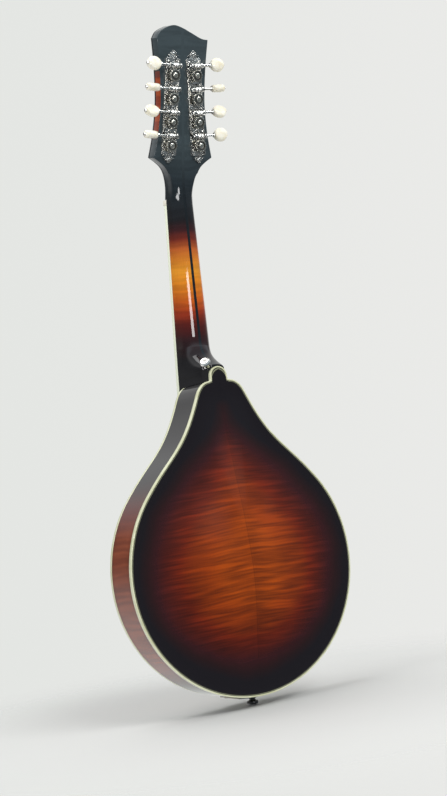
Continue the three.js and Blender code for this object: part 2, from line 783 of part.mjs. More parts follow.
function addFretboard() {
  const wood = (along) => boardHalfWidth(along) - fretboardBinding - glueLine;
  const low = boardEnd + fretboardBinding + glueLine;
  const outline = [[wood(low), low], [wood(freeNeckLength), freeNeckLength],
    [-wood(freeNeckLength), freeNeckLength], [-wood(low), low]].map(([x, z]) => new THREE.Vector2(x, z));
  const board = prism(outline, "y", 0, fretboardThickness);
  const frets = [];
  for (let number = 1; number <= fretCount; number += 1) {
    const along = freeNeckLength - scaleLength * (1 - 2 ** (-number / 12));
    const half = wood(along) - glueLine;
    const crownShares = [[-0.5, 0.3], [-0.5, 0], [-0.3, -1], [0.3, -1], [0.5, 0], [0.5, 0.3]];
    const crown = crownShares.map(([widthShare, heightShare]) =>
      new THREE.Vector2(heightShare * fretHeight, along + widthShare * fretWidth));
    frets.push(prism(crown, "x", -half, half));
  }
  addPart(neckFrame, "fretboard", join(board, ...frets), materials.ebony());
  const outer = boardHalfWidth;
  const inner = (along) => boardHalfWidth(along) - fretboardBinding;
  const edge = [
    [outer(freeNeckLength), freeNeckLength], [inner(freeNeckLength), freeNeckLength],
    [inner(boardEnd), boardEnd + fretboardBinding], [-inner(boardEnd), boardEnd + fretboardBinding],
    [-inner(freeNeckLength), freeNeckLength], [-outer(freeNeckLength), freeNeckLength],
    [-outer(boardEnd), boardEnd], [outer(boardEnd), boardEnd]].map(([x, z]) => new THREE.Vector2(x, z));
  addPart(neckFrame, "fretboard_binding", prism(edge, "y", 0, fretboardThickness), materials.ivory());
}

// Where each string lies across the nut, the bridge and the tailpiece
function stringSpread(index, spread, courseGap) {
  const course = Math.floor(index / 2);
  const courseStep = (spread - courseGap) / 3;
  const within = (index % 2 === 0 ? 0.5 : -0.5) * courseGap;
  return (1.5 - course) * courseStep + within;
}

function stringPoints(index, grown) {
  const radius = stringGauges[index] / 2;
  const perSide = stringGauges.length / 2;
  const side = index < perSide ? 1 : -1;
  const number = side === 1 ? index : stringGauges.length - 1 - index;
  const post = postPlace(side, number);
  const nutX = stringSpread(index, nutSpread, courseGapAtNut);
  const bridgeX = stringSpread(index, bridgeSpread, courseGapAtBridge);
  const tailX = stringSpread(index, tailSpread, courseGapAtBridge);
  const tail = new THREE.Vector3(tailX, -(halfDepth + anchorHeight), tailpieceLength - anchorInset);
  const saddle = new THREE.Vector3(bridgeX, -(stringRiseAtBridge + radius), freeNeckLength - scaleLength);
  const nut = new THREE.Vector3(
    nutX, -(stringRiseAtNut + radius), freeNeckLength + glueLine + nutThickness / 3);
  const points = [
    tail.applyMatrix4(bodyFrame.matrixWorld),
    saddle.applyMatrix4(neckFrame.matrixWorld),
    nut.applyMatrix4(neckFrame.matrixWorld)];
  const wind = postRadius + runningGap + radius;
  const pitch = 2 * radius + windingGap;
  const steps = 10;
  const last = grown ? 1 : Math.round(windingLoops * steps);
  for (let i = 0; i <= last; i += 1) {
    const turn = (2 * Math.PI * i) / steps;
    const height = windingStart + radius + (pitch * i) / steps;
    const point = new THREE.Vector3(
      post.x - side * wind * Math.cos(turn), -height, post.y + wind * Math.sin(turn));
    points.push(point.applyMatrix4(pegheadFrame.matrixWorld));
  }
  return points;
}

// The groove that a string lies in, as a cutter in a frame of its own
function stringGroove(index, frame) {
  const groove = tube(stringPoints(index, true), stringGauges[index] / 2 + 2 * glueLine, 4);
  return groove.applyMatrix4(frame.matrixWorld.clone().invert());
}

function addStrings() {
  let least = Infinity;
  stringGauges.forEach((gauge, index) => {
    const points = stringPoints(index, false);
    addPart(instrument, `string_${stringNames[index]}`, tube(points, gauge / 2, 5), materials.steel());
    const coil = points.slice(3);
    const oneLoop = Math.round(coil.length / windingLoops / 2);
    coil.forEach((a, i) => coil.slice(i + oneLoop).forEach((b) => {
      least = Math.min(least, a.distanceTo(b) - gauge);
    }));
  });
  console.log(`least gap of a string winding to itself: ${least.toFixed(2)} mm`);
}

function addNut() {
  const start = freeNeckLength + glueLine;
  const half = nutWidth / 2;
  const outline = [
    [-nutRise, start], [-nutRise * 0.6, start + nutThickness], [fretboardThickness, start + nutThickness],
    [fretboardThickness, start]].map(([y, z]) => new THREE.Vector2(y, z));
  const grooves = stringGauges.map((_, index) => stringGroove(index, neckFrame));
  addPart(neckFrame, "nut", cut(prism(outline, "x", -half, half), ...grooves), materials.bone());
}

function addPeghead() {
  const seat = glueLine;
  const outline = pegheadOutline().map((p) => new THREE.Vector2(p.x, Math.max(p.y, seat)));
  const pocket = reframed(rodChannel(pegheadStart + coverStart), neckFrame, pegheadFrame);
  const overlay = cut(prism(outline, "y", 0, overlayThickness), pocket, ...postHoles());
  addPart(pegheadFrame, "peghead_overlay", overlay, materials.lacquer());
  const coverShares = [[0.72, 0], [1, 0.1], [0.95, 0.35], [0.55, 0.62], [0.3, 0.85], [0, 1]];
  const half = coverShares.map(([x, z]) =>
    new THREE.Vector2(x * coverHalfWidth, coverStart + z * coverLength));
  const cover = prism(mirrored(half), "y", -(coverThickness + glueLine), -glueLine);
  addPart(pegheadFrame, "truss_rod_cover", cover, materials.ebony());
}

// Tuners: a set is drawn about its middle, with x outwards, y out of the peghead's back and z up
function tunerPlate(side) {
  const half = tunerPlateWidth / 2;
  const straight = tunerPlateLength / 2 - tunerPlateEnd;
  const lobeShares = [[1, 0], [1, 0.16], [0.62, 0.24], [0.72, 0.5], [0.4, 0.62], [0.34, 0.88], [0, 1]];
  const end = (way) => lobeShares.map(([x, z]) =>
    new THREE.Vector2(x * half, tunerPlateShift + way * (straight + z * tunerPlateEnd)));
  const base = pegheadThickness + glueLine;
  const top = base + tunerPlateThickness;
  const plate = prism(mirrored([...end(-1).reverse(), ...end(1)]), "y", base, top);
  const wormY = pegheadThickness + wormHeight;
  const boss = shaftRadius + runningGap + bearingWall;
  const bearings = [];
  const bores = [];
  const holes = [];
  for (let number = 0; number < 4; number += 1) {
    const along = (number - 1.5) * tunerSpacing;
    const hole = rod(postRadius + 2 * runningGap, "y", base - cutOverrun, top + cutOverrun, 8);
    holes.push(moved(hole, 0, 0, along));
    const shaft = along + wormOffset;
    const bore = rod(shaftRadius + runningGap, "x", -tunerPlateWidth, tunerPlateWidth, 8);
    bores.push(moved(bore, 0, wormY, shaft));
    for (const way of [-1, 1]) {
      const inner = way * (wormLength / 2 + runningGap);
      const archShares = [[-1, 0], [-1, 1], [-0.7, 1.7], [0, 2], [0.7, 1.7], [1, 1], [1, 0]];
      const arch = archShares.map(([z, y]) => {
        const rise = y <= 1 ? y * (wormY - top) : wormY - top + (y - 1) * boss;
        return new THREE.Vector2(top - glueLine + rise, shaft + z * boss);
      });
      bearings.push(prism(arch, "x", inner, inner + way * bearingThickness));
    }
  }
  const solid = cut(join(plate, ...bearings), ...bores, ...holes);
  return side === 1 ? solid : turnedOutward(solid.scale(side, 1, 1));
}

// The gear wheel with the string post that it turns, about the post's own axis
function gearPost() {
  const teeth = [];
  for (let i = 0; i < gearTeeth; i += 1) {
    for (const [radius, share] of [[gearRadius, 0], [gearRadius - toothDepth, 0.5]]) {
      const angle = (-2 * Math.PI * (i + share)) / gearTeeth;
      teeth.push(new THREE.Vector2(radius * Math.cos(angle), radius * Math.sin(angle)));
    }
  }
  const gearY = pegheadThickness + wormHeight - gearThickness / 2;
  const gear = prism(teeth, "y", gearY, gearY + gearThickness);
  const hub = pegheadThickness + glueLine + tunerPlateThickness + runningGap;
  const waist = postRadius - postWaistDepth;
  const screw = postRadius - gearScrewStep;
  const screwTop = gearY + gearThickness + gearScrewHeight;
  const post = turned([
    [0, -postRise], [postRadius, -postRise], [postRadius, -stringHoleRise],
    [waist, -windingStart - postWaistLength], [waist, -windingStart],
    [postRadius, -windingStart + postWaistSlope], [postRadius, hub], [postRadius + postHubStep, hub],
    [postRadius + postHubStep, gearY + glueLine], [screw, gearY + glueLine], [screw, screwTop],
    [0, screwTop]], "y", 8);
  const bore = rod(stringHoleRadius, "x", -2 * postRadius, 2 * postRadius, 6);
  const hole = moved(bore, 0, -stringHoleRise - stringHoleDrop, 0);
  return cut(join(gear, post), hole);
}

function wormShaft(side) {
  const inner = wormLength / 2 + runningGap + bearingThickness + shaftEndGap;
  const root = wormRadius - threadDepth;
  const grooves = 3;
  const profile = [[0, -inner], [shaftRadius, -inner], [shaftRadius, -wormLength / 2]];
  for (let i = 0; i < grooves; i += 1) {
    const start = -wormLength / 2 + (wormLength * i) / grooves;
    const width = wormLength / grooves;
    profile.push([root, start], [wormRadius, start + width / 2]);
  }
  profile.push([root, wormLength / 2]);
  const buttonStart = buttonReach - buttonLength / 2;
  const buttonEnd = buttonReach + buttonLength / 2;
  const collar = shaftRadius + collarWall;
  const pin = shaftRadius * 0.8;
  const collarStart = buttonStart - collarLength;
  const capStart = buttonEnd + glueLine;
  const capEnd = buttonEnd + buttonCapHeight;
  profile.push(
    [shaftRadius, wormLength / 2], [shaftRadius, collarStart - collarSlope], [collar, collarStart],
    [collar, buttonStart - glueLine], [pin, buttonStart - glueLine], [pin, capStart],
    [collar * 0.9, capStart], [collar * 0.6, capEnd], [0, capEnd]);
  return turned(profile, "x", 6).scale(side, 1, 1);
}

// A flattened round button with a bore for its shaft, about the shaft's axis
function tunerButton() {
  const buttonShares = [[-1, 0.34], [-0.82, 0.66], [-0.35, 0.96], [0.2, 1], [0.68, 0.8], [1, 0.34]];
  const sides = 10;
  const loops = buttonShares.map(([alongShare, sizeShare]) =>
    Array.from({ length: sides }, (_, i) => {
      const angle = (2 * Math.PI * i) / sides;
      const bulge = sizeShare ** 0.6;
      return new THREE.Vector3(
        (alongShare * buttonLength) / 2,
        (bulge * Math.cos(angle) * buttonThickness) / 2,
        (sizeShare * Math.sin(angle) * buttonAcross) / 2);
    }));
  const bore = rod(shaftRadius * 0.8 + glueLine, "x", -buttonLength, buttonLength, 8);
  return cut(skin(loops), bore);
}

function addTuners() {
  for (const [word, side] of [["treble", 1], ["bass", -1]]) {
    const set = new THREE.Group();
    set.position.set(side * postRowSpread, 0, firstPost + 1.5 * tunerSpacing);
    set.rotation.y = -side * radians(rowSplayDegrees);
    pegheadFrame.add(set);
    addPart(set, `tuner_plate_${word}`, tunerPlate(side), materials.nickel());
    const wormY = pegheadThickness + wormHeight;
    for (let number = 0; number < 4; number += 1) {
      const along = (number - 1.5) * tunerSpacing;
      const gear = addPart(set, `gear_post_${word}_${number + 1}`, gearPost(), materials.nickel());
      gear.position.set(0, 0, along);
      const shaft = turnedOutward(wormShaft(side));
      const worm = addPart(set, `worm_shaft_${word}_${number + 1}`, shaft, materials.nickel());
      worm.position.set(0, wormY, along + wormOffset);
      const button = addPart(set, `tuner_button_${word}_${number + 1}`, tunerButton(), materials.ivory());
      button.position.set(side * buttonReach, wormY, along + wormOffset);
      button.rotation.x = radians(buttonTurnDegrees[word][number]);
    }
  }
}

// Bridge: a base on the arch, two studs with thumbwheels, and a saddle that they lift
function topSurface(x, z) {
  const ray = new THREE.Vector2(x, z - bodyRadius);
  const shares = rimOutline.map((from, i) => {
    const start = new THREE.Vector2(from.x, from.y - bodyRadius);
    const edge = rimOutline[(i + 1) % rimOutline.length].clone().sub(from);
    const along = start.cross(ray) / ray.cross(edge);
    return along >= 0 && along <= 1 ? ray.cross(edge) / start.cross(edge) : 0;
  });
  return -(halfDepth + archRise(Math.min(Math.max(...shares), 1)));
}

function addBridge() {
  const z = bridgeZ();
  const stringLine = new THREE.Vector3(0, -stringRiseAtBridge, freeNeckLength - scaleLength)
    .applyMatrix4(neckFrame.matrix);
  const baseTop = topSurface(0, z) - baseRise;
  const baseShares = [
    [-1, 0.5], [-0.9, 1], [-0.7, 1.2], [-0.66, 1], [0.66, 1], [0.7, 1.2], [0.9, 1], [1, 0.5]];
  const upper = baseShares.map(([share, rise]) => {
    const x = (share * bridgeLength) / 2;
    const level = Math.abs(share) < 0.68 ? baseTop : topSurface(x, z) - baseRise * rise;
    return new THREE.Vector2(x, Math.max(level, baseTop));
  });
  const deep = -halfDepth;
  const outline = [
    ...upper, new THREE.Vector2(bridgeLength / 2, deep), new THREE.Vector2(-bridgeLength / 2, deep)];
  const block = prism(outline, "z", z - bridgeDepth / 2, z + bridgeDepth / 2);
  const wheelBottom = baseTop - wheelTravelRoom;
  const saddleBottom = wheelBottom - wheelThickness - runningGap;
  const saddleTop = stringLine.y - stringGauges[0] / 2;
  const studTop = saddleBottom - (saddleBottom - saddleTop) * 0.55;
  const stud = (side) =>
    moved(rod(studRadius, "y", studTop, baseTop + studSocket, 10), side * studSpread, 0, z);
  const base = join(cut(block, bodyEnvelope(glueLine)), stud(1), stud(-1));
  addPart(bodyFrame, "bridge_base", base, materials.ebony());
  const half = saddleLength / 2;
  const foot = studSpread - wheelRadius * 0.8;
  const relief = saddleBottom - saddleRelief;
  const saddleOutline = [
    [-half, saddleBottom], [-foot, saddleBottom], [-foot * 0.8, relief], [foot * 0.8, relief],
    [foot, saddleBottom], [half, saddleBottom], [half, saddleBottom - saddleTipHeight],
    [half * 0.62, saddleTop], [-half * 0.62, saddleTop],
    [-half, saddleBottom - saddleTipHeight]].map(([x, y]) => new THREE.Vector2(x, y));
  const bore = (side) => moved(
    rod(studRadius + runningGap, "y", studTop - 3 * wheelTravelRoom, saddleBottom + cutOverrun, 10),
    side * studSpread, 0, z);
  const grooves = stringGauges.map((_, index) => stringGroove(index, bodyFrame));
  const blank = prism(saddleOutline, "z", z - saddleDepth / 2, z + saddleDepth / 2);
  const saddle = cut(blank, bore(1), bore(-1), ...grooves);
  addPart(bodyFrame, "bridge_saddle", saddle, materials.ebony());
  for (const [word, side] of [["treble", 1], ["bass", -1]]) {
    const wheel = cut(rod(wheelRadius, "y", wheelBottom - wheelThickness, wheelBottom, 16),
      rod(studRadius + runningGap, "y", wheelBottom - cutOverrun, wheelBottom + cutOverrun, 10));
    const mesh = addPart(bodyFrame, `thumbwheel_${word}`, wheel, materials.nickel());
    mesh.position.set(side * studSpread, 0, z);
  }
}

function addTailpiece() {
  const archShares = [
    [-1, 0], [-0.94, 0.5], [-0.7, 0.82], [-0.35, 0.96], [0, 1], [0.35, 0.96], [0.7, 0.82],
    [0.94, 0.5], [1, 0]];
  const coverShares = [[0, 0.62], [0.3, 0.86], [0.7, 1], [1, 0.94]];
  const section = (z, halfWidth, crown, foot) => {
    const outer = archShares.map(([x, y]) =>
      new THREE.Vector3(x * halfWidth, -(foot + y * (crown - foot)), z));
    const inner = archShares.map(([x, y]) => new THREE.Vector3(
      x * (halfWidth - tailpieceWall), -(foot + y * (crown - foot - tailpieceWall)), z)).reverse();
    return [...outer, ...inner];
  };
  const foot = halfDepth + tailpieceGap;
  const cover = skin(coverShares.map(([share, widthShare], i) => section(
    -tailpieceWall - glueLine + share * tailpieceLength, widthShare * tailpieceHalfWidth,
    halfDepth + tailpieceRises[i], foot)));
  const combTop = halfDepth + anchorHeight - stringGauges.at(-1) / 2 - glueLine;
  const combZ = tailpieceLength - anchorInset;
  const combHalf = tailpieceHalfWidth * 0.96;
  const comb = box(-combHalf, combHalf, -combTop, -(combTop - combThickness),
    combZ - combDepth / 2, combZ + combDepth / 2);
  const reach = Math.asin(flangeHalfWidth / bodyRadius);
  const bend = (radius) => new THREE.EllipseCurve(
    0, bodyRadius, radius, radius, -Math.PI / 2 - reach, -Math.PI / 2 + reach).getPoints(4);
  const plate = [...bend(bodyRadius + glueLine + tailpieceWall), ...bend(bodyRadius + glueLine).reverse()];
  const flange = prism(plate, "y", -(halfDepth + flangeRise), flangeDrop);
  const heelHalf = flangeHalfWidth * 0.8;
  const heel = box(-heelHalf, heelHalf, -(foot + tailpieceHeelRise), -(halfDepth + tailpieceHeelGap),
    -tailpieceWall - glueLine, combZ);
  const solid = cut(join(cover, comb, flange, heel), pinHole(), bodyEnvelope(glueLine));
  addPart(bodyFrame, "tailpiece", solid, materials.nickel());
  addPart(bodyFrame, "end_pin", endPin(), materials.blackPlastic());
}

function addStrapButton() {
  const r = strapButtonRadius;
  const h = strapButtonHeight;
  const geometry = turned([
    [0, 0], [r * 0.75, 0], [r * 0.55, h * 0.25], [r * 0.5, h * 0.6], [r, h * 0.75], [r * 0.92, h * 0.94],
    [r * 0.6, h], [0, h]], "y", 12);
  addPart(strapFrame, "heel_strap_button", geometry, materials.nickel());
}

// Pickguard: a thin plate beside the strings, on one block at the fretboard and one over the top
function addPickguard() {
  const inner = (share) => boardHalfWidth(-guardStart - share * guardLength) + guardInnerGap;
  const shares = [
    [0, 0], [0.1, 0.04], [0.28, 0.18], [0.62, 0.4], [0.92, 0.62], [1, 0.78], [0.86, 0.92], [0.5, 1]];
  const outerEdge = new THREE.SplineCurve(shares.map(([x, z]) => new THREE.Vector2(
    inner(0) + x * guardReach, -guardStart - z * guardLength))).getPoints(14);
  const innerFoot = new THREE.Vector2(inner(0) + guardReach * 0.14, -guardStart - guardLength);
  const plate = prism([...outerEdge, innerFoot], "y", guardSet, guardSet + guardThickness);
  const near = inner(0.25) + guardBlockGap;
  const nearZ = -guardStart - guardLength * 0.25;
  const farZ = -guardStart - guardLength * 0.86;
  const farX = inner(0) + guardReach * 0.42;
  const low = guardSet + guardThickness - glueLine;
  const block = (x, z) => box(
    x, x + guardBlockWidth, low, bodyDepth, z - guardBlockLength / 2, z + guardBlockLength / 2);
  const envelope = reframed(bodyEnvelope(glueLine), bodyFrame, neckFrame);
  const blocks = [block(near, nearZ), block(farX, farZ)].map((solid) => cut(solid, envelope));
  addPart(neckFrame, "pickguard", join(plate, ...blocks), materials.blackPlastic());
}

addBody();
addNeck();
addFretboard();
addNut();
addPeghead();
addTuners();
addBridge();
addTailpiece();
addStrapButton();
addPickguard();
addStrings();

export default instrument;
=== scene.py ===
"""Looks of an A-style mandolin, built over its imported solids.

Drawn in millimetres and placed in metres, in the row's frame: +Z runs from the end pin to
the peghead, +Y points out of the back and +X to the treble side.
"""

import json
import logging
import math
from dataclasses import dataclass
from enum import Enum
from typing import Optional, Sequence, Union

import bpy
import numpy as np
from mathutils import Matrix, Vector

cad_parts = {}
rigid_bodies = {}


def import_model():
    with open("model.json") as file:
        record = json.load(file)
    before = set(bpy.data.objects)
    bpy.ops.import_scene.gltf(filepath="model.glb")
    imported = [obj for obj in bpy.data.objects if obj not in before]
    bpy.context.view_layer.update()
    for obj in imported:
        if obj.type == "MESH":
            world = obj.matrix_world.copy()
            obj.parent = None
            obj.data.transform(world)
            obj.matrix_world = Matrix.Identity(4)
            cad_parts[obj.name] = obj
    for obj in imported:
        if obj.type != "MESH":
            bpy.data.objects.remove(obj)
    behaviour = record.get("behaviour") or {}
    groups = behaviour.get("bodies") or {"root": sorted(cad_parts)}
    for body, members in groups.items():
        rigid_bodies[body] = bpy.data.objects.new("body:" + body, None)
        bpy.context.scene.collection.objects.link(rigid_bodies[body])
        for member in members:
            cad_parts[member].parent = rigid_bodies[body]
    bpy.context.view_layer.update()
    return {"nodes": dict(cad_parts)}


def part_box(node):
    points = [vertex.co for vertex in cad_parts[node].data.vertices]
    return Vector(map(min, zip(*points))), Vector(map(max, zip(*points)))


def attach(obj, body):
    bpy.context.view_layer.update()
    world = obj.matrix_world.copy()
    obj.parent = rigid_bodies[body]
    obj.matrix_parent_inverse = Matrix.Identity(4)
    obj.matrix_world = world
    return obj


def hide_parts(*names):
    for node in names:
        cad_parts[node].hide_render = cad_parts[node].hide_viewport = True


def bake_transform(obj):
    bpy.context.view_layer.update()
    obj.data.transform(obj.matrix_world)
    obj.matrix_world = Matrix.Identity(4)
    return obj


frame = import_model()

LOG = logging.getLogger("mandolin")
Point = tuple[float, float]
Colour = tuple[float, float, float, float]
Piece = bpy.types.Object
Socket = bpy.types.NodeSocket
Term = Union["Signal", float]
MM = 0.001
TO_MM = 1000.0
FIXED = "instrument"
PIN_PROUD = 9.5
# Black lacquer lightened to a blue grey: a painted reflection of the room on the peghead's back.
PEGHEAD_BLACK_WITH_PAINTED_SHEEN = 0x374145


def srgb(code: int) -> Colour:
    """Turns a written colour into the linear one that a shader takes.

    Args:
        code: The colour as 0xRRGGBB.

    Returns:
        Linear red, green and blue with a full alpha.
    """
    parts = [((code >> shift) & 255) / 255 for shift in (16, 8, 0)]
    linear = [c / 12.92 if c <= 0.04045 else ((c + 0.055) / 1.055) ** 2.4 for c in parts]
    return (linear[0], linear[1], linear[2], 1.0)


class Side(Enum):
    """The two sides of the instrument."""

    TREBLE = 1
    BASS = -1

    @property
    def word(self) -> str:
        """The side's word in the names of pieces."""
        return self.name.lower()


class Combine(Enum):
    """How one solid is worked with another."""

    JOIN = "UNION"
    CUT = "DIFFERENCE"
    KEEP = "INTERSECT"


# Shader building


class Signal:
    """A number that varies over a surface, written as arithmetic."""

    def __init__(self, graph: "Graph", socket: Socket) -> None:
        """Wraps one output socket of a graph."""
        self.graph = graph
        self.socket = socket

    def _make(self, operation: str, *terms: Term) -> "Signal":
        """Adds one Math node over the terms given."""
        node = self.graph.node("ShaderNodeMath", {"operation": operation}, dict(enumerate(terms)))
        return Signal(self.graph, node.outputs[0])

    def __add__(self, other: Term) -> "Signal":
        """Adds a number."""
        return self._make("ADD", self, other)

    __radd__ = __add__

    def __sub__(self, other: Term) -> "Signal":
        """Takes a number away."""
        return self._make("SUBTRACT", self, other)

    def __rsub__(self, other: float) -> "Signal":
        """Takes this from a number."""
        return self._make("SUBTRACT", other, self)

    def __mul__(self, other: Term) -> "Signal":
        """Multiplies by a number."""
        return self._make("MULTIPLY", self, other)

    __rmul__ = __mul__

    def __truediv__(self, other: Term) -> "Signal":
        """Divides by a number."""
        return self._make("DIVIDE", self, other)

    def __pow__(self, other: float) -> "Signal":
        """Raises to a power."""
        return self._make("POWER", self, other)

    def __abs__(self) -> "Signal":
        """The size of the number without its sign."""
        return self._make("ABSOLUTE", self)

    def most(self, other: Term) -> "Signal":
        """The larger of two numbers."""
        return self._make("MAXIMUM", self, other)

    def wave(self) -> "Signal":
        """The sine of the number."""
        return self._make("SINE", self)

    def eased(self, low: float, high: float, start: float = 0.0, end: float = 1.0) -> "Signal":
        """A smooth step from start to end between two values of this number.

        Args:
            low: Value where the step starts.
            high: Value where it ends.
            start: Result at low.
            end: Result at high.

        Returns:
            The stepped number.
        """
        node = self.graph.node(
            "ShaderNodeMapRange",
            {"interpolation_type": "SMOOTHSTEP"},
            {0: self, 1: low, 2: high, 3: start, 4: end},
        )
        return Signal(self.graph, node.outputs[0])


Input = Union[Signal, Socket, float, Colour, tuple]


class Graph:
    """The nodes of one material or world, each made by type, settings and inputs."""

    def __init__(self, name: str, world: Optional[bpy.types.World] = None) -> None:
        """Starts an empty material, or empties the nodes of a world.

        Args:
            name: Name of the material.
            world: The world to draw in, if it is one.
        """
        self.material = world or bpy.data.materials.new(name)
        self.material.use_nodes = True
        self.tree = self.material.node_tree
        self.tree.nodes.clear()

    def node(
        self, kind: str, settings: Optional[dict] = None, inputs: Optional[dict] = None
    ) -> bpy.types.Node:
        """Adds one node.

        Args:
            kind: Blender's name of the node type.
            settings: Properties set first; "stops" sets a ramp's colours.
            inputs: Values or links of its sockets, by name or place.

        Returns:
            The new node.
        """
        made = self.tree.nodes.new(kind)
        for key, value in (settings or {}).items():
            if key == "stops":
                self._set_stops(made.color_ramp, value)
            else:
                setattr(made, key, value)
        for key, value in (inputs or {}).items():
            socket = made.inputs[key]
            if isinstance(value, Signal):
                self.tree.links.new(value.socket, socket)
            elif isinstance(value, Socket):
                self.tree.links.new(value, socket)
            else:
                socket.default_value = value
        return made

    @staticmethod
    def _set_stops(ramp: bpy.types.ColorRamp, stops: Sequence[tuple[float, Colour]]) -> None:
        """Gives a ramp its stops.

        Args:
            ramp: The ramp.
            stops: Places from 0 to 1 with their colours.
        """
        while len(ramp.elements) > 1:
            ramp.elements.remove(ramp.elements[-1])
        ramp.elements[0].position, ramp.elements[0].color = stops[0]
        for position, colour in stops[1:]:
            ramp.elements.new(position).color = colour

    def place(self) -> Socket:
        """The point on the object, in metres."""
        return self.node("ShaderNodeTexCoord").outputs["Object"]

    def split(self, vector: Socket) -> tuple[Signal, Signal, Signal]:
        """The three parts of a vector."""
        parts = self.node("ShaderNodeSeparateXYZ", None, {0: vector}).outputs
        return Signal(self, parts[0]), Signal(self, parts[1]), Signal(self, parts[2])

    def joined(self, x: Input, y: Input, z: Input) -> Socket:
        """A vector made from three numbers."""
        return self.node("ShaderNodeCombineXYZ", None, {0: x, 1: y, 2: z}).outputs[0]

    def noise(self, vector: Socket, scale: float, detail: float = 2.0, warp: float = 0.0) -> Signal:
        """Soft random patches about one half, with so many to a unit of the vector."""
        inputs = {"Vector": vector, "Scale": scale, "Detail": detail, "Distortion": warp}
        return Signal(self, self.node("ShaderNodeTexNoise", None, inputs).outputs[0])

    def attribute(self, name: str) -> Signal:
        """A number stored on the mesh."""
        made = self.node("ShaderNodeAttribute", {"attribute_name": name})
        return Signal(self, made.outputs["Fac"])

    def ramp(self, factor: Signal, stops: Sequence[tuple[float, Colour]]) -> Socket:
        """A colour picked along a ramp."""
        made = self.node("ShaderNodeValToRGB", {"stops": stops}, {0: factor})
        return made.outputs[0]

    def mixed(self, factor: Input, first: Input, second: Input, blend: str = "MIX") -> Socket:
        """Two colours mixed, with the factor as the second one's share."""
        settings = {"data_type": "RGBA", "blend_type": blend, "clamp_factor": True}
        return self.node("ShaderNodeMix", settings, {0: factor, 6: first, 7: second}).outputs[2]

    def bump(self, height: Signal, distance: float, strength: float = 1.0) -> Socket:
        """A surface normal bent by a height, where 1 stands out by the distance in metres."""
        inputs = {"Strength": strength, "Distance": distance, "Height": height}
        return self.node("ShaderNodeBump", None, inputs).outputs[0]

    def surface(
        self, colour: Input, rough: Input, normal: Input, coat: Sequence[float] = (),
        more: Optional[dict] = None,
    ) -> bpy.types.Material:
        """Ends the graph in one principled shader.

        Args:
            colour: Its base colour.
            rough: Its roughness.
            normal: Its surface normal.
            coat: Weight and roughness of its clear coat, which takes all the gloss if full.
            more: Values or links of its other sockets.

        Returns:
            The finished material.
        """
        inputs = {"Base Color": colour, "Roughness": rough, "Normal": normal, **(more or {})}
        if coat:
            inputs["Coat Weight"], inputs["Coat Roughness"] = coat
            inputs["Specular IOR Level"] = 0.0 if coat[0] == 1.0 else 0.5
        shader = self.node("ShaderNodeBsdfPrincipled", None, inputs)
        self.node("ShaderNodeOutputMaterial", None, {"Surface": shader.outputs[0]})
        return self.material


# Finishes


@dataclass(frozen=True)
class Finish:
    """A finish with the record's slot that it belongs to."""

    name: str
    slot: str

    def paint(self) -> bpy.types.Material:
        """Makes the material, once for each name."""
        found = bpy.data.materials.get(self.name)
        return found or self.draw(Graph(self.name))

    def draw(self, graph: Graph) -> bpy.types.Material:
        """Draws the material's nodes.

        Args:
            graph: The empty graph to fill.

        Returns:
            The finished material.
        """
        raise NotImplementedError


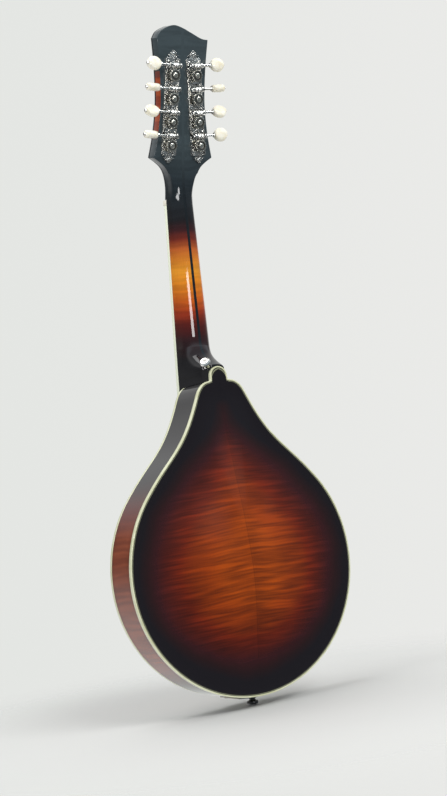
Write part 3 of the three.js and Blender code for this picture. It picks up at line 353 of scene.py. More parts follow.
@dataclass(frozen=True)
class PlateBurst(Finish):
    """A sunburst over a bookmatched plate, dark by its distance from the edge."""

    stops: tuple = (
        (7, 0x141015), (16, 0x210F11), (25, 0x311013), (37, 0x49140B), (50, 0x621B04),
        (63, 0x702702), (77, 0x7E2F02), (95, 0x883703),
    )
    flame: float = 1.0
    grain: float = 0.0
    reach: float = 100.0
    inlay: int = 0x8A8C74
    outline: int = 0x15130F

    def figure(self, graph: Graph, spot: Socket) -> tuple[Signal, Signal]:
        """The wood's figure, with a painted sheen on the halves by the seam.

        Args:
            graph: The graph that it is drawn in.
            spot: The point on the plate.

        Returns:
            The figure about one, and its broad bands.
        """
        x, _, z = graph.split(spot)
        drift = graph.noise(spot, 16.0, 2.0) - 0.5
        lean = z * TO_MM + abs(x) * 45 + drift * 5
        bands = graph.noise(graph.joined(x * 18, 0.0, lean / 4.3), 1.0, 0.0)
        fine = graph.noise(graph.joined(x * 36, 3.0, lean / 1.7), 1.0, 0.0)
        curl = bands.eased(0.44, 0.74, -0.12, 0.4)
        fibre = graph.noise(graph.joined(x * 1500, 0.0, z * 45), 1.0, 2.0)
        slow = graph.noise(spot, 19.0, 1.0)
        # By the seam one half is painted lighter and the other darker: a painted sheen of the
        # bookmatched flame.
        near_seam = abs(x).eased(0.0, 0.04, 1.0, 0.0)
        painted_half_sheen = x.eased(-0.002, 0.002, -0.09, 0.09) * near_seam
        figure = curl * self.flame + (fine - 0.5) * 0.85 * self.flame
        figure = figure + (fibre - 0.5) * (0.14 + self.grain) + (slow - 0.5) * 0.7 + painted_half_sheen + 0.95
        return figure, bands

    def draw(self, graph: Graph) -> bpy.types.Material:
        """Draws flames across the grain, the seam and the burst under gloss.

        Args:
            graph: The empty graph to fill.

        Returns:
            The finished material.
        """
        spot = graph.place()
        x, _, z = graph.split(spot)
        figure, bands = self.figure(graph, spot)
        high = z * TO_MM - PIN_PROUD
        edge = graph.attribute("edge_mm") - high.eased(225, 275, 0, 14) - high.eased(30, 100, 8, 0)
        wander = (graph.noise(spot, 26.0, 2.0) - 0.5) * 9
        depth = (edge + wander) / self.reach
        base = graph.ramp(depth, [(mm / self.reach, srgb(code)) for mm, code in self.stops])
        level = (figure - 1) * depth.eased(0.12, 0.45) + 1
        seam = abs(x).eased(0.0001, 0.0007, 0.78, 1.0)
        shade = level * seam
        tinted = graph.mixed(1.0, base, graph.joined(shade, shade, shade), "MULTIPLY")
        line = graph.attribute("edge_mm")
        inlay = line.eased(0.25, 0.45) * line.eased(0.85, 1.05, 1.0, 0.0)
        outline = line.eased(1.2, 1.5, 1.0, 0.0)
        edged = graph.mixed(outline, tinted, srgb(self.outline))
        colour = graph.mixed(inlay * 0.75, edged, srgb(self.inlay))
        ripple = graph.noise(spot, 38.0, 2.0)
        rough = bands.eased(0.3, 0.7, 0.5, 0.42)
        return graph.surface(colour, rough, graph.bump(ripple, 0.00018, 0.3), (1.0, 0.045))


@dataclass(frozen=True)
class RibBurst(Finish):
    """Upright flames round the rim, dark at the neck, the tail and the two edges."""

    deep: int = 0x6B301B
    bright: int = 0x813F25
    margin: int = 0x42170D
    burnt: int = 0x55180C
    black: int = 0x131214

    def draw(self, graph: Graph) -> bpy.types.Material:
        """Draws the rim's flames and shading.

        Args:
            graph: The empty graph to fill.

        Returns:
            The finished material.
        """
        spot = graph.place()
        _, y, z = graph.split(spot)
        around = graph.attribute("along_mm")
        drift = graph.noise(spot, 14.0, 2.0) - 0.5
        bands = graph.noise(graph.joined(around * 0.15 + drift * 2, y * 12, 0.0), 1.0, 1.0, 0.1)
        fibre = graph.noise(graph.joined(around * 0.05, y * 1600, 0.0), 1.0, 2.0)
        height = z * TO_MM - PIN_PROUD + drift * 12
        burst = height.eased(160, 236).most(height.eased(8, 50, 1.0, 0.0))
        margin = abs(y * TO_MM).eased(10, 20.5, 0.0, 0.4)
        wood = graph.mixed(bands.eased(0.3, 0.7), srgb(self.deep), srgb(self.bright))
        shaded = graph.mixed(margin, wood, srgb(self.margin))
        burnt = graph.mixed(burst.eased(0.0, 0.5), shaded, srgb(self.burnt))
        dark = graph.mixed(burst.eased(0.35, 1.0), burnt, srgb(self.black))
        tone = (fibre - 0.5) * 0.16 + (bands - 0.5) * 0.25 + 1
        colour = graph.mixed(1.0, dark, graph.joined(tone, tone, tone), "MULTIPLY")
        ripple = graph.noise(spot, 45.0, 2.0)
        rough = bands.eased(0.3, 0.7, 0.5, 0.42)
        return graph.surface(colour, rough, graph.bump(ripple, 0.00018, 0.3), (1.0, 0.07))


@dataclass(frozen=True)
class NeckBurst(Finish):
    """The neck's burst along its length, with red flanks on the peghead and a painted reflection on
    its black.
    """

    tilt: float = 5.5
    foot: float = 322.5
    front: float = -31.9
    reach: float = 240.0
    # Up the peghead the stops turn from black to blue grey: a painted reflection on the black
    # lacquer.
    stops: tuple = (
        (28, 0x17171A), (50, 0x2A1214), (64, 0x4F1611), (76, 0x8C2E12), (88, 0xB45312),
        (104, 0xCB7818), (118, 0xD28A24), (130, 0xC67522), (140, 0xA85322), (149, 0x6E2718),
        (158, 0x331315), (170, 0x17171A), (206, 0x20282D), (240, PEGHEAD_BLACK_WITH_PAINTED_SHEEN),
    )
    flanks: tuple = (0x7A2E16, 0x97431F)

    def draw(self, graph: Graph) -> bpy.types.Material:
        """Draws amber in the middle of the neck and black at both ends.

        Args:
            graph: The empty graph to fill.

        Returns:
            The finished material.
        """
        spot = graph.place()
        x, y, z = graph.split(spot)
        sine, cosine = math.sin(math.radians(self.tilt)), math.cos(math.radians(self.tilt))
        along = (y * TO_MM - self.front) * sine + (z * TO_MM - self.foot) * cosine
        drift = graph.noise(spot, 24.0, 2.0) - 0.5
        where = (along + drift * 7) / self.reach
        base = graph.ramp(where, [(mm / self.reach, srgb(code)) for mm, code in self.stops])
        bands = graph.noise(graph.joined(x * 14, y * 14, along * 0.17 + drift * 2), 1.0, 2.0, 0.3)
        fibre = graph.noise(graph.joined(x * 1500, y * 1500, z * 40), 1.0, 2.0)
        tone = bands.eased(0.36, 0.64, 0.86, 1.1) * ((fibre - 0.5) * 0.16 + 1)
        streaked = graph.mixed(1.0, base, graph.joined(tone, tone, tone), "MULTIPLY")
        flank = graph.attribute("flank")
        red = graph.mixed(bands.eased(0.35, 0.65), *map(srgb, self.flanks))
        colour = graph.mixed(flank, streaked, red)
        ripple = graph.noise(spot, 60.0, 2.0)
        rough = fibre.eased(0.3, 0.7, 0.36, 0.44)
        return graph.surface(colour, rough, graph.bump(ripple, 0.00012, 0.3), (1.0, 0.04))


@dataclass(frozen=True)
class Wood(Finish):
    """Plain wood with straight grain, bare or satin."""

    pale: int = 0xC9A878
    deep: int = 0xA8835A
    gloss: float = 0.6
    coat: float = 0.0
    fineness: float = 900.0
    black_from: float = 0.0
    black_fade: float = 56.0
    pores: int = 0x0E0B08

    def draw(self, graph: Graph) -> bpy.types.Material:
        """Draws long fibres with open pores, under black lacquer with a painted reflection above a
        given height.

        Args:
            graph: The empty graph to fill.

        Returns:
            The finished material.
        """
        spot = graph.place()
        x, y, z = graph.split(spot)
        drift = graph.noise(spot, 30.0, 2.0) - 0.5
        fibre = graph.noise(
            graph.joined(x * self.fineness + drift * 6, y * self.fineness, z * 30), 1.0, 3.0, 0.2
        )
        pore = graph.noise(graph.joined(x * 2600, y * 2600, z * 190), 1.0, 1.0)
        colour = graph.mixed(fibre.eased(0.3, 0.7), srgb(self.pale), srgb(self.deep))
        colour = graph.mixed(pore.eased(0.62, 0.75, 0.0, 0.35), colour, srgb(self.pores))
        # Above black_from the wood turns to the peghead's black, lightened by a painted reflection.
        if self.black_from:
            height = (z * TO_MM).eased(self.black_from, self.black_from + self.black_fade)
            colour = graph.mixed(height, colour, srgb(PEGHEAD_BLACK_WITH_PAINTED_SHEEN))
        rough = fibre.eased(0.3, 0.7, self.gloss, self.gloss + 0.12)
        normal = graph.bump(fibre * 0.6 + pore * 0.4, 0.00006, 0.5)
        coat = (self.coat, 0.06 if self.coat == 1.0 else 0.12)
        return graph.surface(colour, rough, normal, coat)


@dataclass(frozen=True)
class Metal(Finish):
    """Plated or drawn metal with fine wear; engraved adds cut scrolls; painted shade in hollows."""

    tone: int = 0xE4E3DF
    shade: int = 0xB9B7B2
    rough: float = 0.1
    engraved: bool = False
    recess: tuple = ()
    # Colour of the painted shade in the engraved cuts.
    cut: int = 0x141413
    # Colour of the painted shade in a recess.
    sunk: int = 0x2B2824

    def draw(self, graph: Graph) -> bpy.types.Material:
        """Draws smudges, fine scratches and any engraving.

        Args:
            graph: The empty graph to fill.

        Returns:
            The finished material.
        """
        spot = graph.place()
        x, y, z = graph.split(spot)
        smudge = graph.noise(spot, 140.0, 3.0)
        scratch = graph.noise(graph.joined(x * 3000, y * 3000, z * 260), 1.0, 2.0)
        height = scratch * 0.25 + smudge * 0.25
        colour = graph.mixed(smudge.eased(0.4, 0.75), srgb(self.tone), srgb(self.shade))
        # The engraved grooves are darkened: painted shade in the cuts.
        if self.engraved:
            swirl = graph.noise(spot, 170.0, 0.0, 1.2)
            groove = abs((swirl * 15).wave()).eased(0.1, 0.7)
            height = height * 0.3 + groove * 3.0
            colour = graph.mixed(groove, srgb(self.cut), colour)
        # A recess gets painted shade: the ring between its two radii, where the gear's groove lies,
        # is darkened.
        if self.recess:
            low, high = self.recess
            radial = graph.attribute("radial_mm")
            sunk = radial.eased(low, low + 0.3) * radial.eased(high - 0.3, high, 1.0, 0.0)
            colour = graph.mixed(sunk * 0.6, colour, srgb(self.sunk))
        rough = smudge.eased(0.3, 0.75, self.rough, self.rough + 0.16)
        normal = graph.bump(height, 0.0002 if self.engraved else 0.00003, 0.8)
        return graph.surface(colour, rough, normal, more={"Metallic": 1.0})


@dataclass(frozen=True)
class Moulded(Finish):
    """Cast or moulded material, from polished cream plastic to black plastic."""

    tone: int = 0xE9E8D2
    shade: int = 0xD6D2B4
    rough: float = 0.28
    coat: float = 0.3
    cloud: float = 130.0
    glow: float = 0.0

    def draw(self, graph: Graph) -> bpy.types.Material:
        """Draws slow clouds of tone, faint scuffs and a soft gloss.

        Args:
            graph: The empty graph to fill.

        Returns:
            The finished material.
        """
        spot = graph.place()
        cloud = graph.noise(spot, self.cloud, 3.0, 0.6)
        scuff = graph.noise(spot, 1400.0, 2.0)
        colour = graph.mixed(cloud.eased(0.35, 0.7), srgb(self.tone), srgb(self.shade))
        rough = scuff.eased(0.35, 0.75, self.rough, self.rough + 0.12)
        normal = graph.bump(scuff * 0.3 + cloud * 0.7, 0.00003, 0.5)
        glow = {"Subsurface Weight": self.glow, "Subsurface Radius": (0.0012, 0.001, 0.0007)}
        return graph.surface(colour, rough, normal, (self.coat, 0.06), glow)


@dataclass(frozen=True)
class WoundWire(Finish):
    """String wire; the wound strings show their turns."""

    tone: int = 0xC8C6C0
    turns: float = 0.0
    tarnish: int = 0x5F5850

    def draw(self, graph: Graph) -> bpy.types.Material:
        """Draws the wrap of a wound string, or faint draw marks.

        Args:
            graph: The empty graph to fill.

        Returns:
            The finished material.
        """
        spot = graph.place()
        _, _, z = graph.split(spot)
        tarnish = graph.noise(spot, 90.0, 3.0)
        ridge = (z * self.turns).wave() if self.turns else graph.noise(spot, 2500.0, 1.0)
        colour = graph.mixed(tarnish.eased(0.45, 0.8), srgb(self.tone), srgb(self.tarnish))
        rough = tarnish.eased(0.3, 0.7, 0.24, 0.38)
        return graph.surface(colour, rough, graph.bump(ridge, 0.00004, 0.5), (), {"Metallic": 1.0})


BACK = PlateBurst("burst_maple", "sunburst_maple")
TOP = PlateBurst(
    "burst_spruce", "stained_spruce",
    ((7, 0x17120E), (16, 0x2A150B), (25, 0x47220D), (37, 0x6E3A14), (50, 0x8E5220),
     (63, 0xA4652A), (77, 0xB57534), (95, 0xBE8140)),
    flame=0.1, grain=0.35,
)
RIBS = RibBurst("burst_ribs", "sunburst_maple")
NECK = NeckBurst("burst_neck", "sunburst_maple")
BARE = Wood("bare_wood", "bare_wood")
EBONY = Wood("ebony", "dark_wood", 0x1B1714, 0x120F0D, 0.38, 0.15)
STRIPE = Wood("stripe_wood", "dark_wood", 0x171D22, 0x11161A, 0.3, 1.0, 900.0, 510.0)
LACQUER = Moulded("black_lacquer", "black_lacquer", 0x1B2329, 0x171E23, 0.2, 1.0, 60.0)
CREAM = Moulded("cream_binding", "ivory_plastic", 0xD3D5B6, 0xC2C49F, 0.3, 0.6, 70.0)
PEARL = Moulded("cream_button", "ivory_plastic", 0xF3F0E2, 0xE6E0C8, 0.22, 0.7, 190.0, 0.12)
BONE = Moulded("bone", "bone", 0xE4E0D2, 0xD5CFBC, 0.35, 0.1, 120.0)
BLACK = Moulded("black_plastic", "black_plastic", 0x1B1A1A, 0x141313, 0.22, 0.5, 90.0)
SHELL = Moulded("pearl_marker", "bone", 0xE9EAE6, 0xB9C4C0, 0.18, 0.8, 420.0)
NICKEL = Metal("nickel", "nickel_plate")
ENGRAVED = Metal("engraved_nickel", "nickel_plate", 0xE2E1DC, 0xB4B2AC, 0.12, True)
# The gears get painted shade in the sunken ring between 2.6 and 4.9 mm from the axis.
GEARS = Metal("gear_nickel", "nickel_plate", 0xE2DED2, 0xB5B0A4, 0.12, recess=(2.6, 4.9))
STEEL = Metal("bare_steel", "steel_wire", 0x9A9A98, 0x77767A, 0.35)
FRETS = Metal("fret_wire", "dark_wood", 0xC6C4BC, 0xA09E96, 0.18)
PLAIN_WIRE = WoundWire("plain_wire", "steel_wire")
WRAP_PITCH = 0.00025
WOUND_WIRE = WoundWire("wound_wire", "steel_wire", 0xC08A52, 2 * math.pi / WRAP_PITCH)


# Modelling


AXES = {"x": (1, 0, 0), "y": (0, 1, 0), "z": (0, 0, 1)}


@dataclass(frozen=True)
class Bench:
    """The modelling steps that every sub-assembly uses."""

    smooth_degrees: float = 32.0

    def free(self) -> None:
        """Leaves nothing selected and no piece in edit mode."""
        if bpy.context.mode != "OBJECT":
            bpy.ops.object.mode_set(mode="OBJECT")
        bpy.ops.object.select_all(action="DESELECT")

    def take(self, piece: Piece) -> None:
        """Selects one piece alone and makes it active.

        Args:
            piece: The piece.
        """
        self.free()
        piece.select_set(True)
        bpy.context.view_layer.objects.active = piece

    def opened(self, piece: Piece) -> None:
        """Takes one piece into edit mode with all of it selected.

        Args:
            piece: The piece.
        """
        self.take(piece)
        bpy.ops.object.mode_set(mode="EDIT")
        bpy.ops.mesh.select_all(action="SELECT")

    def _named(self, name: str) -> Piece:
        """Names the primitive just added.

        Args:
            name: The name.

        Returns:
            The primitive.
        """
        piece = bpy.context.object
        piece.name = name
        piece.data.name = name
        return piece

    def outward(self, piece: Piece) -> None:
        """Turns all faces outwards.

        Args:
            piece: A closed piece.
        """
        self.opened(piece)
        bpy.ops.mesh.normals_make_consistent(inside=False)
        bpy.ops.object.mode_set(mode="OBJECT")

    def closed(
        self, name: str, start: Vector, rings: Sequence[Sequence[Vector]], end: Vector
    ) -> Piece:
        """A closed form through rings of points, wrapped round a sphere.

        Args:
            name: Name of the piece.
            start: Its first pole, in metres.
            rings: The rings between the poles, all with as many points.
            end: Its last pole.

        Returns:
            The new piece.
        """
        self.free()
        count, last = len(rings[0]), len(rings) + 1
        bpy.ops.mesh.primitive_uv_sphere_add(segments=count, ring_count=last, radius=1.0)
        piece = self._named(name)
        rows = [[start], *rings, [end]]
        for vertex in piece.data.vertices:
            co = vertex.co
            row = rows[round(math.acos(max(-1.0, min(1.0, co.z))) / math.pi * last)]
            turn = math.atan2(co.y, co.x) / math.tau % 1.0
            vertex.co = row[round(turn * count) % len(row)]
        self.outward(piece)
        return piece

    def ring(self, name: str, loops: Sequence[Sequence[Vector]]) -> Piece:
        """A closed band through loops of points, wrapped round a torus.

        Args:
            name: Name of the piece.
            loops: The way round of each corner of its section, in metres.

        Returns:
            The new piece.
        """
        self.free()
        major, minor = len(loops[0]), len(loops)
        bpy.ops.mesh.primitive_torus_add(
            major_segments=major, minor_segments=minor, major_radius=1.0, minor_radius=0.25
        )
        piece = self._named(name)
        for vertex in piece.data.vertices:
            co = vertex.co
            out = math.hypot(co.x, co.y) - 1.0
            corner = round((math.atan2(co.z, out) / math.tau % 1.0) * minor) % minor
            step = round((math.atan2(co.y, co.x) / math.tau % 1.0) * major) % major
            vertex.co = loops[corner][step]
        self.outward(piece)
        return piece

    def slab(
        self, name: str, outline: Sequence[Vector], way: Vector, bevel: float = 0.0, steps: int = 2
    ) -> Piece:
        """A flat blank cut to an outline and extruded.

        Args:
            name: Name of the piece.
            outline: Points in metres, in order.
            way: How far and where the blank is extruded.
            bevel: Width of the eased edges, in metres.
            steps: Steps of the eased edges.

        Returns:
            The new piece.
        """
        self.free()
        bpy.ops.mesh.primitive_circle_add(vertices=len(outline), radius=1.0, fill_type="NGON")
        piece = self._named(name)
        count = len(outline)
        for vertex in piece.data.vertices:
            turn = math.atan2(vertex.co.y, vertex.co.x) / (2 * math.pi) % 1.0
            vertex.co = outline[round(turn * count) % count]
        self.opened(piece)
        bpy.ops.mesh.extrude_region_move(TRANSFORM_OT_translate={"value": tuple(way)})
        self.outward(piece)
        if bevel:
            self.eased(piece, bevel, steps)
        return piece

    def eased(self, piece: Piece, width: float, steps: int = 2, degrees: float = 40.0) -> None:
        """Rounds the sharp edges of a piece.

        Args:
            piece: The piece to work on.
            width: Width of the rounding in metres.
            steps: Steps of the rounding.
            degrees: Edges sharper than this are rounded.
        """
        modifier = piece.modifiers.new("Eased", "BEVEL")
        modifier.limit_method = "ANGLE"
        modifier.angle_limit = math.radians(degrees)
        modifier.width = width
        modifier.segments = steps
        self.applied(piece, modifier)

    def applied(self, piece: Piece, modifier: bpy.types.Modifier) -> None:
        """Applies one modifier."""
        self.take(piece)
        bpy.ops.object.modifier_apply(modifier=modifier.name)

    def worked(self, piece: Piece, tool: Piece, how: Combine) -> None:
        """Works one solid with another and clears the other away.

        Args:
            piece: The piece that stays.
            tool: The solid that is used up.
            how: Whether it joins, cuts or keeps what both hold.
        """
        modifier = piece.modifiers.new("Worked", "BOOLEAN")
        modifier.operation = how.value
        modifier.solver = "EXACT"
        modifier.object = tool
        self.applied(piece, modifier)
        bpy.data.objects.remove(tool)

    def healed(self, piece: Piece) -> None:
        """Merges the crumbs that the cuts leave, and closes what they left open.

        Args:
            piece: The piece after its last cut.
        """
        self.opened(piece)
        bpy.ops.mesh.remove_doubles(threshold=0.01 * MM)
        bpy.ops.mesh.dissolve_degenerate(threshold=0.005 * MM)
        bpy.ops.mesh.select_all(action="DESELECT")
        bpy.ops.mesh.select_non_manifold(extend=False)
        bpy.ops.mesh.fill_holes(sides=12)
        bpy.ops.object.mode_set(mode="OBJECT")

    def gathered(self, pieces: Sequence[Piece]) -> Piece:
        """Puts separate solids into the first one's mesh.

        Args:
            pieces: The solids.

        Returns:
            The first piece, with all of them in it.
        """
        self.take(pieces[0])
        for piece in pieces[1:]:
            piece.select_set(True)
        if len(pieces) > 1:
            bpy.ops.object.join()
        return pieces[0]

    def traced(self, node: str, name: str, bevel: float = 0.0, steps: int = 2) -> Piece:
        """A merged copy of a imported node, ready to be eased.

        Args:
            node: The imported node.
            name: Name of the new piece.
            bevel: Width of the eased edges in metres.
            steps: Steps of the eased edges.

        Returns:
            The new piece.
        """
        piece = bpy.data.objects.new(name, frame["nodes"][node].data.copy())
        bpy.context.scene.collection.objects.link(piece)
        self.take(piece)
        if piece.data.has_custom_normals:
            bpy.ops.mesh.customdata_custom_splitnormals_clear()
        self.opened(piece)
        bpy.ops.mesh.remove_doubles(threshold=1e-6)
        bpy.ops.mesh.dissolve_limited(angle_limit=math.radians(0.5))
        bpy.ops.object.mode_set(mode="OBJECT")
        if bevel:
            self.eased(piece, bevel, steps)
        return piece

    def copied(self, piece: Piece, name: str, matrix: Matrix) -> Piece:
        """A copy with a mesh of its own, put in place.

        Args:
            piece: The model.
            name: Name of the copy.
            matrix: Where the copy goes.

        Returns:
            The copy.
        """
        twin = bpy.data.objects.new(name, piece.data.copy())
        bpy.context.scene.collection.objects.link(twin)
        twin.data.transform(matrix)
        if matrix.determinant() < 0:
            twin.data.flip_normals()
        return twin

    def bored(
        self, piece: Piece, place: "Place", centre: tuple, radius: float, depth: float,
        sides: int, axis: str = "y",
    ) -> None:
        """Bores a round hole into a piece.

        Args:
            piece: The piece.
            place: The frame that the hole is drawn in.
            centre: Middle of the circle where the hole starts, in millimetres.
            radius: Radius of the hole.
            depth: Depth of the hole.
            sides: Steps round the hole.
            axis: The frame's axis that the hole follows.
        """
        way = place.way(*(depth * share for share in AXES[axis]))
        circle = place.circle(centre, radius, sides, axis)
        self.worked(piece, self.slab("bore_tool", circle, way), Combine.CUT)

    def sent(
        self, piece: Piece, finish: Finish, *nodes: str, body: str = FIXED,
        bend: tuple = (),
    ) -> None:
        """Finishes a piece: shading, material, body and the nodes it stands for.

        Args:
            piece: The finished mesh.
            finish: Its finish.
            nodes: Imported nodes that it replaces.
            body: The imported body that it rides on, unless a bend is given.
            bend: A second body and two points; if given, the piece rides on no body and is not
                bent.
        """
        self.take(piece)
        bpy.ops.object.shade_smooth_by_angle(angle=math.radians(self.smooth_degrees))
        if not piece.data.materials:
            piece.data.materials.append(finish.paint())
        if bend:
            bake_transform(piece)
        else:
            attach(piece, body)
        if nodes:
            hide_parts(*nodes)
        LOG.info("%s: %d faces, rides on %s", piece.name, len(piece.data.polygons), body)

    def kept(
        self, node: str, name: str, finish: Finish, bevel: float = 0.0, body: str = FIXED
    ) -> None:
        """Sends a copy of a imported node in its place, with edges eased by a width in metres."""
        self.sent(self.traced(node, name, bevel), finish, node, body=body)

    def dressed(self, node: str, finish: Finish) -> None:
        """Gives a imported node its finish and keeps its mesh.

        Args:
            node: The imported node.
            finish: Its finish.
        """
        piece = frame["nodes"][node]
        piece.data.materials.clear()
        piece.data.materials.append(finish.paint())
        LOG.info("%s: keeps its packed mesh", node)


BENCH = Bench()


def curve_through(points: Sequence[Point], count: int) -> list[Point]:
    """An even curve through points, each span weighted alike.

    Args:
        points: The points to pass.
        count: Spans of the result.

    Returns:
        count + 1 points on the curve.
    """
    last = len(points) - 1
    result = []
    for i in range(count + 1):
        where = last * i / count
        k = min(int(where), last)
        t = where - k
        p = [points[max(min(j, last), 0)] for j in (k - 1, k, k + 1, k + 2)]
        result.append(tuple(
            (2 * p[1][a] - 2 * p[2][a] + (p[2][a] - p[0][a]) / 2 + (p[3][a] - p[1][a]) / 2) * t**3
            + (3 * p[2][a] - 3 * p[1][a] - (p[2][a] - p[0][a]) - (p[3][a] - p[1][a]) / 2) * t**2
            + (p[2][a] - p[0][a]) / 2 * t + p[1][a]
            for a in (0, 1)
        ))
    return result


def bezier(points: Sequence[Point], count: int) -> list[Point]:
    """A cubic curve from its four points.

    Args:
        points: Start, two handles and end.
        count: Spans of the result.

    Returns:
        count + 1 points on the curve.
    """
    result = []
    for i in range(count + 1):
        t = i / count
        weights = ((1 - t) ** 3, 3 * t * (1 - t) ** 2, 3 * t * t * (1 - t), t**3)
        result.append(tuple(sum(w * p[a] for w, p in zip(weights, points)) for a in (0, 1)))
    return result


@dataclass(frozen=True)
class Place:
    """A local frame of the instrument, in millimetres."""

    matrix: Matrix

    def at(self, x: float, y: float, z: float) -> Vector:
        """A point of the frame, in metres."""
        return self.matrix @ Vector((x, y, z)) * MM

    def way(self, x: float, y: float, z: float) -> Vector:
        """A direction of the frame with its length, in metres."""
        return self.matrix.to_3x3() @ Vector((x, y, z)) * MM

    def circle(self, centre: tuple, radius: float, sides: int, axis: str = "y") -> list[Vector]:
        """Points round a circle that stands square to an axis of the frame.

        Args:
            centre: Its middle, in millimetres.
            radius: Its radius.
            sides: How many points it has.
            axis: The frame's axis that it goes round.

        Returns:
            The points, in metres.
        """
        points = []
        for i in range(sides):
            angle = math.tau * i / sides
            a, b = radius * math.cos(angle), radius * math.sin(angle)
            around = {"x": (0, a, b), "y": (a, 0, b), "z": (a, b, 0)}[axis]
            points.append(self.at(*(middle + step for middle, step in zip(centre, around))))
        return points

    def within(
        self, x: float, y: float, z: float, axis: str = "X", degrees: float = 0.0
    ) -> "Place":
        """A frame inside this one, turned about one of its axes."""
        step = Matrix.Translation((x, y, z)) @ Matrix.Rotation(math.radians(degrees), 4, axis)
        return Place(self.matrix @ step)

    def metres(self) -> Matrix:
        """The matrix that puts a piece drawn in metres into the frame.

        Returns:
            The matrix, with its shift in metres.
        """
        scaled = self.matrix.copy()
        scaled.translation = scaled.translation * MM
        return scaled


ORIGIN = Place(Matrix.Identity(4))


def turned(
    name: str, place: Place, axis: str, profile: Sequence[Point], sides: int = 40,
    knurl: float = 0.0,
) -> Piece:
    """A turned piece from its profile.

    Args:
        name: Name of the piece.
        place: Its frame.
        axis: The frame's axis that it is turned about.
        profile: Radius and distance along the axis, from end to end, both ends on the axis.
        sides: Steps round the axis.
        knurl: Depth of the knurling on the widest rings, in millimetres.

    Returns:
        The new piece.
    """
    widest = max(radius for radius, _ in profile)
    rings = []
    for radius, along in profile:
        centre = [along * share for share in AXES[axis]]
        loop = place.circle(centre, radius, sides, axis)
        if knurl and radius > 0.97 * widest:
            loop[1::2] = place.circle(centre, radius - knurl, sides, axis)[1::2]
        rings.append(loop)
    return BENCH.closed(name, rings[0][0], rings[1:-1], rings[-1][0])


# The instrument's plan


